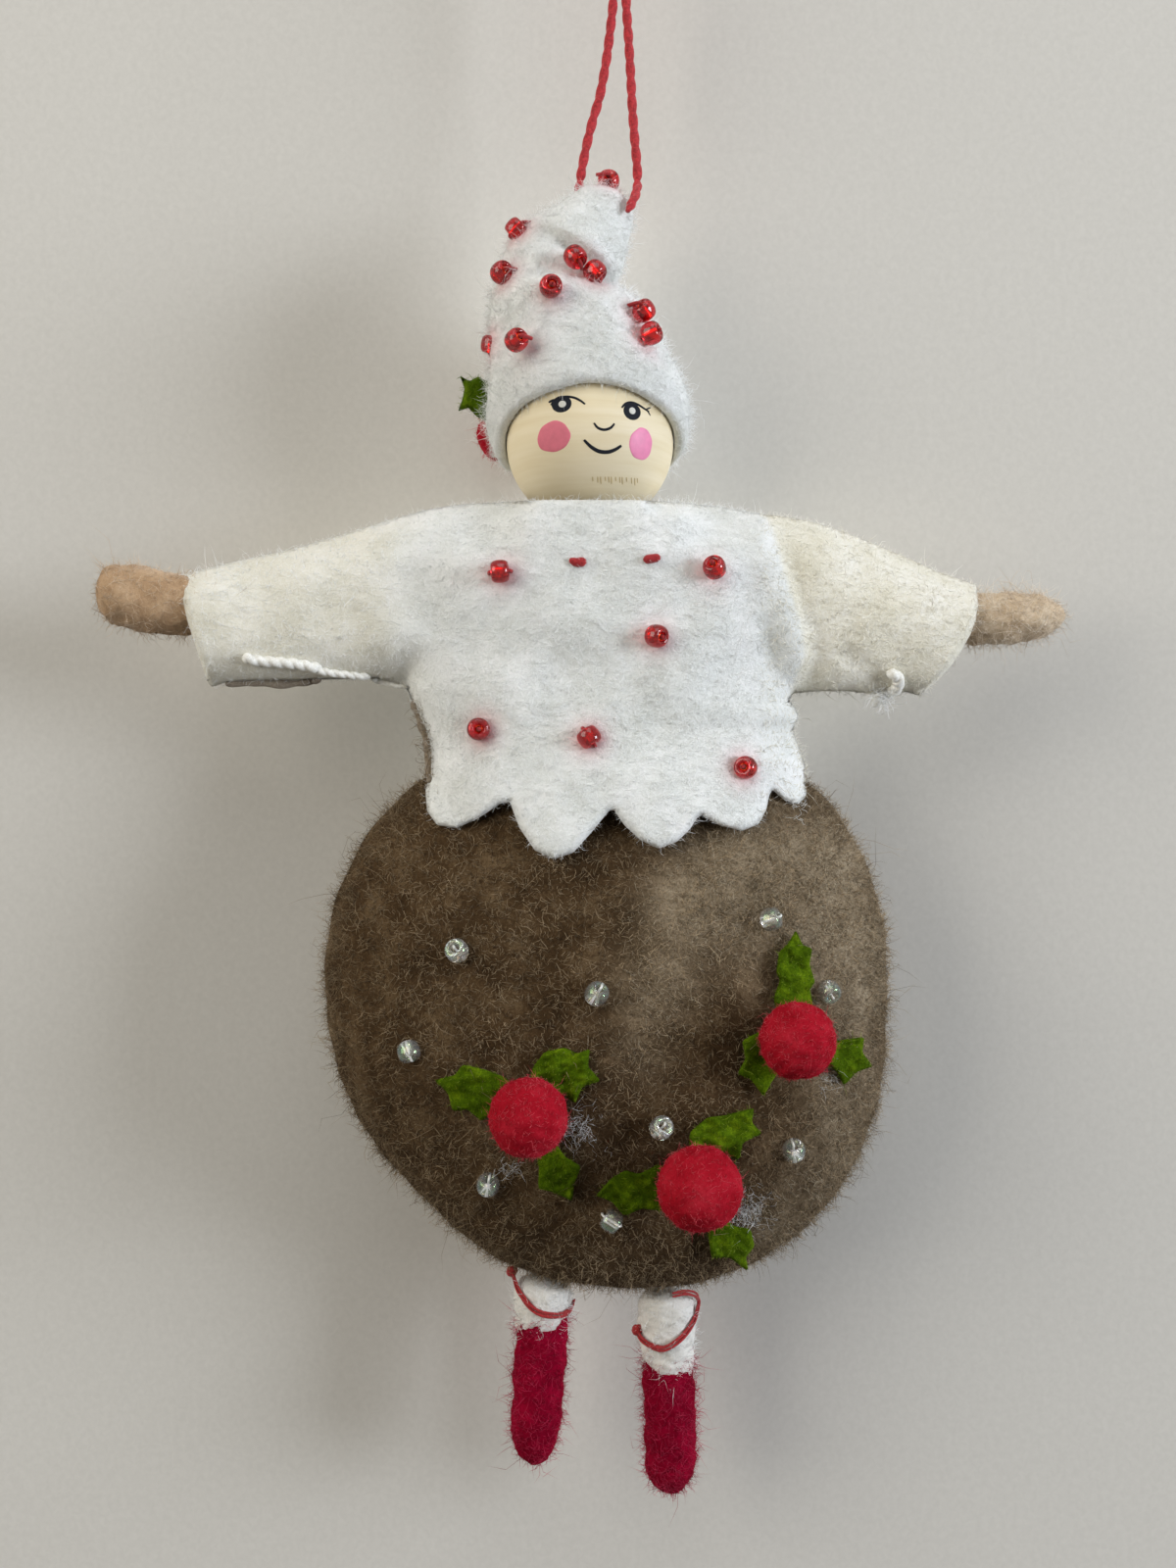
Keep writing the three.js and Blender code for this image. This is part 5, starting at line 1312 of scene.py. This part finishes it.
def hat_leaf_depth(x, z):
    """Depth of the leaf behind the hat: its node's, with a crinkle."""
    return 0.15 * lumps(np.stack([x, 0 * x, z], -1), 2.0, 165) - box_middle("hat_leaf")[1]


def felted_berry(name, middle, diameter, seed, body):
    """A red wool ball as a piece."""
    berry = make_piece(f"{name}_wool", *felted_ball(middle, diameter, seed), berry_felt, body, name, "berry_wool")
    return berry


for number, leaves in LEAVES.items():
    across, down, size = BERRIES[number]
    outlines = [rounded_outline(leaf) for leaf in leaves]
    shapes = [
        felt_cutout(outline, leaf_lift(outline, 120 + 10 * number + k), pitch=LEAF_PITCH, wall=LEAF_WALL)[:2]
        for k, outline in enumerate(outlines)
    ]
    name = f"holly_sprig_{number}"
    sprig = make_piece(f"{name}_felt", *together(shapes), leaf_felt, "torso", name, "green_felt")
    fuzz(f"{name}_fuzz", sprig, 1100, 0.6, leaf_fibres, 130 + number, slot="green_felt")
    name = f"berry_{number}"
    middle = seen_at(from_picture(across, down), -box_middle(name)[1])
    berry = felted_berry(name, middle, BERRY_DIAMETER * size, 140 + number, "torso")
    fuzz(f"{name}_fuzz", berry, 2200, 0.8, berry_fibres, 150 + number, 0.1, slot="berry_wool")

middle = box_middle("hat_berry") + HAT_BERRY_SHIFT
hat_berry = felted_berry("hat_berry", middle, HAT_BERRY_DIAMETER, 161, "head")
fuzz("hat_berry_fuzz", hat_berry, 900, 1.2, berry_fibres, 162, 0.15, 0.03, slot="berry_wool")
shape = felt_cutout(rounded_outline(HAT_LEAF), hat_leaf_depth, pitch=LEAF_PITCH, wall=LEAF_WALL)[:2]
hat_leaf = make_piece("hat_leaf_felt", *shape, leaf_felt, "head", "hat_leaf", "green_felt")
fuzz("hat_leaf_fuzz", hat_leaf, 500, 0.8, leaf_fibres, 164, 0.35, 0.03, slot="green_felt")


# ---- beads ----
BEAD_RADIUS, BEAD_HALF_LENGTH, BEAD_HOLE = 1.36, 1.02, 0.36  # the hole's as a radius too


def numbered(start, rows):
    """A table of rows under a name and a number from 1."""
    return {f"{start}_{k}": row for k, row in enumerate(rows, 1)}


HAT_BEADS = {"hat_bead_tip": (621, 185, 30, 90)} | numbered("hat_bead", [
    (527, 234, 82, 45), (512, 278, 40, 20), (562, 292, 8, 0), (587, 262, 60, -55), (607, 277, 72, -50),
    (657, 317, 55, 130), (665, 340, 65, 20), (527, 347, 40, 25), (502, 352, 80, 80),
])
SHIRT_BEADS = numbered("shirt_bead", [
    (510, 583, 88, 4), (729, 579, 35, 120), (670, 649, 45, -15), (488, 744, 8, 0), (601, 752, 84, -55),
    (761, 783, 25, 170),
])
PUDDING_BEADS = numbered("pudding_bead", [
    (466, 970, 30, 120), (609, 1014, 55, 58), (787, 938, 70, 20), (846, 1012, 40, -60),
    (417, 1073, 60, -70), (675, 1151, 35, 60), (810, 1174, 50, 100), (498, 1209, 55, 80),
    (624, 1246, 88, -32),
])
# each bead's place in the picture, how far its hole leans away from the viewer and which way, in degrees from
# the right, anticlockwise


def bead_axis(lean, way):
    """The direction of a bead's hole from its two angles."""
    lean, way = np.radians(lean), np.radians(way)
    return np.array([np.sin(lean) * np.cos(way), -np.cos(lean), np.sin(lean) * np.sin(way)])


def oval(wave):
    """A sine or cosine a little blunted: its size ^ 0.9, with its sign."""
    return np.sign(wave) * np.abs(wave) ** 0.9


def bead_shape(middle, axis, inner, outer, half_length):
    """A ring of glass: an oval section between the hole and the outer radius, turned round the axis."""
    side = unit(np.cross(axis, [0.3, 0.2, 1.0]))
    other = np.cross(axis, side)
    around = full_turn(30)[:, None]
    section = full_turn(18)
    radius = (inner + outer) / 2 + (outer - inner) / 2 * oval(np.cos(section))
    along = half_length * oval(np.sin(section))
    spokes = np.cos(around)[..., None] * side + np.sin(around)[..., None] * other
    points = middle + along[..., None] * axis + radius[..., None] * spokes
    here = np.arange(30)[:, None] * 18 + np.arange(18)
    right, down = np.roll(here, -1, 0), np.roll(here, -1, 1)
    quads = np.stack([here, right, np.roll(right, -1, 1), down], -1).reshape(-1, 4)
    return points.reshape(-1, 3), [quads]


def straight_back(middle):
    """The way a stitch dives from a bead on the flat felt."""
    return np.array([0.0, 1.0, 0.0])


def to_hat_axis(middle):
    """The way a stitch dives from a bead on the hat: to the hat's middle line and a little down."""
    return np.array([HAT_AXIS, 0.0, middle[2] - 1.0]) - middle


def sew_beads(name, table, body, glass, lining, thread, slots, inwards, sink, thread_radius=0.24):
    """The beads of one group, each as deep as its CAD node but for the sink, their linings, and the stitches
    that hold them and dive along inwards(middle)."""
    parts = {"glass": [], "lining": [], "stitches": []}
    for node, (across, down, lean, way) in table.items():
        axis = bead_axis(lean, way)
        middle = seen_at(from_picture(across, down), sink - box_middle(node)[1])
        into = unit(inwards(middle))
        parts["glass"].append(bead_shape(middle, axis, BEAD_HOLE, BEAD_RADIUS, BEAD_HALF_LENGTH))
        parts["lining"].append(
            bead_shape(middle, axis, BEAD_HOLE - 0.1, BEAD_HOLE + 0.15, BEAD_HALF_LENGTH * 0.8)
        )
        ends = [middle + axis * s * (BEAD_HALF_LENGTH + 0.1) for s in (-1, 1)]
        roots = [end + into * 1.6 + axis * s * 0.25 for s, end in zip((-1, 1), ends)]
        route = curve_through([roots[0], ends[0], middle, ends[1], roots[1]], 40)
        outward = np.tile(np.cross(axis, [0.2, 0.1, 1.0]), (40, 1))
        parts["stitches"].append(skin(sweep(route, outward, thread_radius)))
    for word, material, slot in zip(parts, (glass, lining, thread), slots):
        if material:
            piece = make_piece(f"{name}_{word}", *together(parts[word]), material, body, slot=slot)
            if word == "glass":
                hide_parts(*table)


def redden(piece, table):
    """Writes how near each point of a piece is to the beads of a table, exp(-(distance / 2 mm)^2): the weight of
    the painted pink glow that stands in for red light through the beads.
    """
    places = read_values(piece.data.vertices, "co", 3, np.float32) / MM
    red_bead_glow = np.zeros(len(places))
    for node, (across, down, _, _) in table.items():
        middle = seen_at(from_picture(across, down), -box_middle(node)[1])
        red_bead_glow = np.maximum(red_bead_glow, np.exp(-((places - middle) ** 2).sum(1) / 4))
    add_values(piece.data, "red_bead_glow", red_bead_glow)


# Painted pink light round the red beads, on the hat's and the shirt's felt and fibres.
for piece in (hat, hat_pile):
    redden(piece, HAT_BEADS)
for piece in shirt_pieces:
    redden(piece, SHIRT_BEADS)

red = (red_glass, red_lining, red_floss, ("red_glass", "red_glass", "red_thread"))
clear = (clear_glass, None, white_floss, ("clear_glass",) * 3)
sew_beads("hat_beads", HAT_BEADS, "head", *red, to_hat_axis, -0.6)
sew_beads("shirt_beads", SHIRT_BEADS, "torso", *red, straight_back, -0.5)
sew_beads("pudding_beads", PUDDING_BEADS, "torso", *clear, straight_back, -0.6, 0.14)


# ---- sewing: stitches and thread ends ----
def sewn(name, points, lift, thick, material, body, slot, twist=None):
    """A thread over the shirt's felt through picture places, its middle lifted off it. It dives in at its
    ends, and a twisted one is two plies."""
    flat = curve_through(picture_line(points), 20 * len(points))
    count = len(flat)
    ends = rounded(np.minimum(np.arange(count), np.arange(count)[::-1]) / count, 0.08)
    path = seen_at(flat, shirt_depth(flat[:, 0], flat[:, 1]) + FELT / 2 + lift * (2 * ends - 1))
    outward = towards_viewer(count)
    uneven = thick / 2 * (1 + 0.2 * lumps(path, 2.0, 207)) * (0.35 + 0.65 * ends)
    shape = twisted_cord(path, outward, thick / 2, twist) if twist else skin(sweep(path, outward, uneven))
    return make_piece(name, *shape, material, body, slot=slot)


def hairs(name, line, depth, count, length, material, body, seed, thick, slot):
    """Loose fibres that stand out of a line through picture places, at a depth before the plane Y = 0."""
    random = np.random.default_rng(seed)
    flat = curve_through(picture_line(line), count)
    roots = seen_at(flat, np.full(count, depth)) + random.normal(0, 0.35, (count, 3))
    lengths = length * random.uniform(0.4, 1.3, count)
    points, faces, shade = strands(roots, random.normal(size=(count, 3)), lengths, thick, 0.6, seed, 4)
    return make_piece(name, points, faces, material, body, slot=slot, shade=shade)


KNOT_STITCH = [(908, 686), (917, 693), (914, 703), (905, 707), (897, 711), (893, 718)]
bend_with_arm(
    sewn("right_cuff_thread_knot", KNOT_STITCH, 0.5, 1.5, white_floss, None, "white_felt", 2.2)
)
RED_STITCHES = [[(583, 572), (589, 574), (595, 573)], [(659, 571), (665, 570), (671, 569)]]
for number, places in enumerate(RED_STITCHES, 1):
    sewn(f"shirt_red_stitch_{number}", places, 0.15, 0.95, red_floss, "torso", "red_thread")
SEAM_STITCHES = [
    ([(250, 671), (262, 674), (285, 676), (305, 678), (326, 682)], 1.4, 2.8),
    ([(322, 684), (340, 687), (358, 689), (376, 691)], 1.0, 2.3),
    ([(380, 694), (392, 697), (404, 700), (415, 701)], 0.6, 1.2),
]  # picture places, thickness and length of a twist
for number, (places, thick, twist) in enumerate(SEAM_STITCHES, 1):
    stitch = sewn(f"left_sleeve_stitch_{number}", places, 0.45, thick, white_floss, None, "white_felt", twist)
    bend_with_arm(stitch)
# Grey-brown strips along the left sleeve's seam and the body's left side: painted shade where the back layer
# shows under the front.
SLEEVE_EDGE = [(231, 698), (262, 697), (296, 698), (327, 694)]
SIDE_EDGE = [(422, 717), (430, 737), (437, 757), (439, 775), (438, 797)]
bend_with_arm(sewn("left_sleeve_cut_edge", SLEEVE_EDGE, -0.3, 0.9, shaded_cut_edge, None, "white_felt"))
sewn("left_side_cut_edge", SIDE_EDGE, -0.3, 1.2, shaded_cut_edge, "torso", "white_felt")

HAIRS = {
    "left_seam_hairs": (
        [(428, 722), (436, 745), (437, 775), (435, 812)], 3.0, 260, 1.8, brown_fibres, "torso", 171, 0.03,
        "brown_felt",
    ),
    "right_cuff_tuft": (
        [(892, 704), (903, 710), (904, 718)], 2.0, 130, 2.4, white_fibres, None, 172, 0.04, "white_felt"
    ),
    "right_hem_thread": (
        [(812, 812), (814, 822), (815, 830)], 8.0, 26, 1.8, white_fibres, "torso", 173, 0.03, "white_felt"
    ),
    "right_hand_stray": (
        [(1030, 640), (1050, 600)], 2.5, 14, 6.0, tan_fibres, "right_arm", 174, 0.025, "tan_wool"
    ),
    "hat_red_stitch": (
        [(663, 398), (667, 401), (672, 405)], 6.3, 9, 0.9, red_floss, "head", 175, 0.1, "red_thread"
    ),
}  # picture places, depth, count, length, material, body, seed, radius and slot
for name, values in HAIRS.items():
    tuft = hairs(name, *values)
    if name == "right_cuff_tuft":
        bend_with_arm(tuft)


# ---- pieces that keep their CAD solid ----
for name in ("body", "shoulder", "hip", "left_arm", "right_arm", "left_leg", "right_leg"):
    wire = frame["nodes"][f"{name}_wire"].data
    wire.materials.clear()
    wire.materials.append(steel)


# ---- stage: paper behind, four lamps and a pale room ----
def paper():
    """Plain uncoated paper, warm grey and matt, with a fine tooth. From behind it is clear, and it lets lamps
    through."""
    noise = {"Detail": 3.0, "Distortion": 0.6}
    stops = [(0.3, "#cac7c0"), (0.7, "#d0cdc6")]
    material = grained("warm_grey_paper", 0.8, stops, 0.06, noise, Roughness=0.9, Specular_IOR_Level=0.2)
    tree = material.node_tree
    opaque = tree.nodes["Principled BSDF"].outputs[0]
    clear = add_node(tree, "ShaderNodeBsdfTransparent").outputs[0]
    behind = add_node(tree, "ShaderNodeNewGeometry").outputs["Backfacing"]
    shadow = add_node(tree, "ShaderNodeLightPath").outputs["Is Shadow Ray"]
    either = add_node(tree, "ShaderNodeMath", {"operation": "MAXIMUM"}, {0: behind, 1: shadow}).outputs[0]
    mix = add_node(tree, "ShaderNodeMixShader", links={0: either, 1: opaque, 2: clear})
    tree.links.new(mix.outputs[0], tree.nodes["Material Output"].inputs["Surface"])
    return material


PAPER_BACK = 15.2 * MM  # just behind the pudding's back
paper_corners = [(x, PAPER_BACK, z) for x, z in ((-0.6, -0.7), (0.6, -0.7), (0.6, 0.4), (-0.6, 0.4))]
paper_mesh = bpy.data.meshes.new("paper")
paper_mesh.from_pydata(paper_corners, [], [(0, 1, 2, 3)])
paper_mesh.materials.append(paper())
paper_sheet = bpy.data.objects.new("paper", paper_mesh)
bpy.context.collection.objects.link(paper_sheet)


def lamp(name, place, size, power, code):
    """A soft square lamp at a place in metres, turned to the ornament's middle."""
    data = bpy.data.lights.new(name, "AREA")
    data.shape, data.size, data.energy, data.color = "SQUARE", size, power, colour(code)[:3]
    light = bpy.data.objects.new(name, data)
    light.location = place
    light.rotation_euler = (Vector((0, 0, -0.10)) - Vector(place)).to_track_quat("-Z", "Y").to_euler()
    bpy.context.collection.objects.link(light)


lamp("window_left", (-0.70, -0.50, 0.15), 0.70, 5.8, "#fffaf0")
lamp("window_right", (0.90, -0.42, -0.02), 0.40, 9.0, "#f0f6ff")
lamp("window_top", (0.05, -0.45, 0.60), 0.60, 2.2, "#fbfdff")
lamp("back_fill", (0.25, 0.80, 0.30), 0.50, 5.0, "#ffffff")

world = bpy.data.worlds.new("pale_room")
scene.world = world
world.use_nodes = True
tree = world.node_tree
room = tree.nodes["Background"]
room.inputs["Color"].default_value = colour("#dcdad6")
# The room is bright where it is seen, mirrored or looked at through glass, and dim as a light on the wool.
rays = add_node(tree, "ShaderNodeLightPath").outputs
seen = rays["Is Camera Ray"]
for ray in ("Is Glossy Ray", "Is Transmission Ray"):
    seen = add_node(tree, "ShaderNodeMath", {"operation": "MAXIMUM"}, {0: seen, 1: rays[ray]}).outputs[0]
strength = add_node(tree, "ShaderNodeMath", {"operation": "MULTIPLY_ADD", 1: 0.62, 2: 0.14}, {0: seen})
tree.links.new(strength.outputs[0], room.inputs["Strength"])
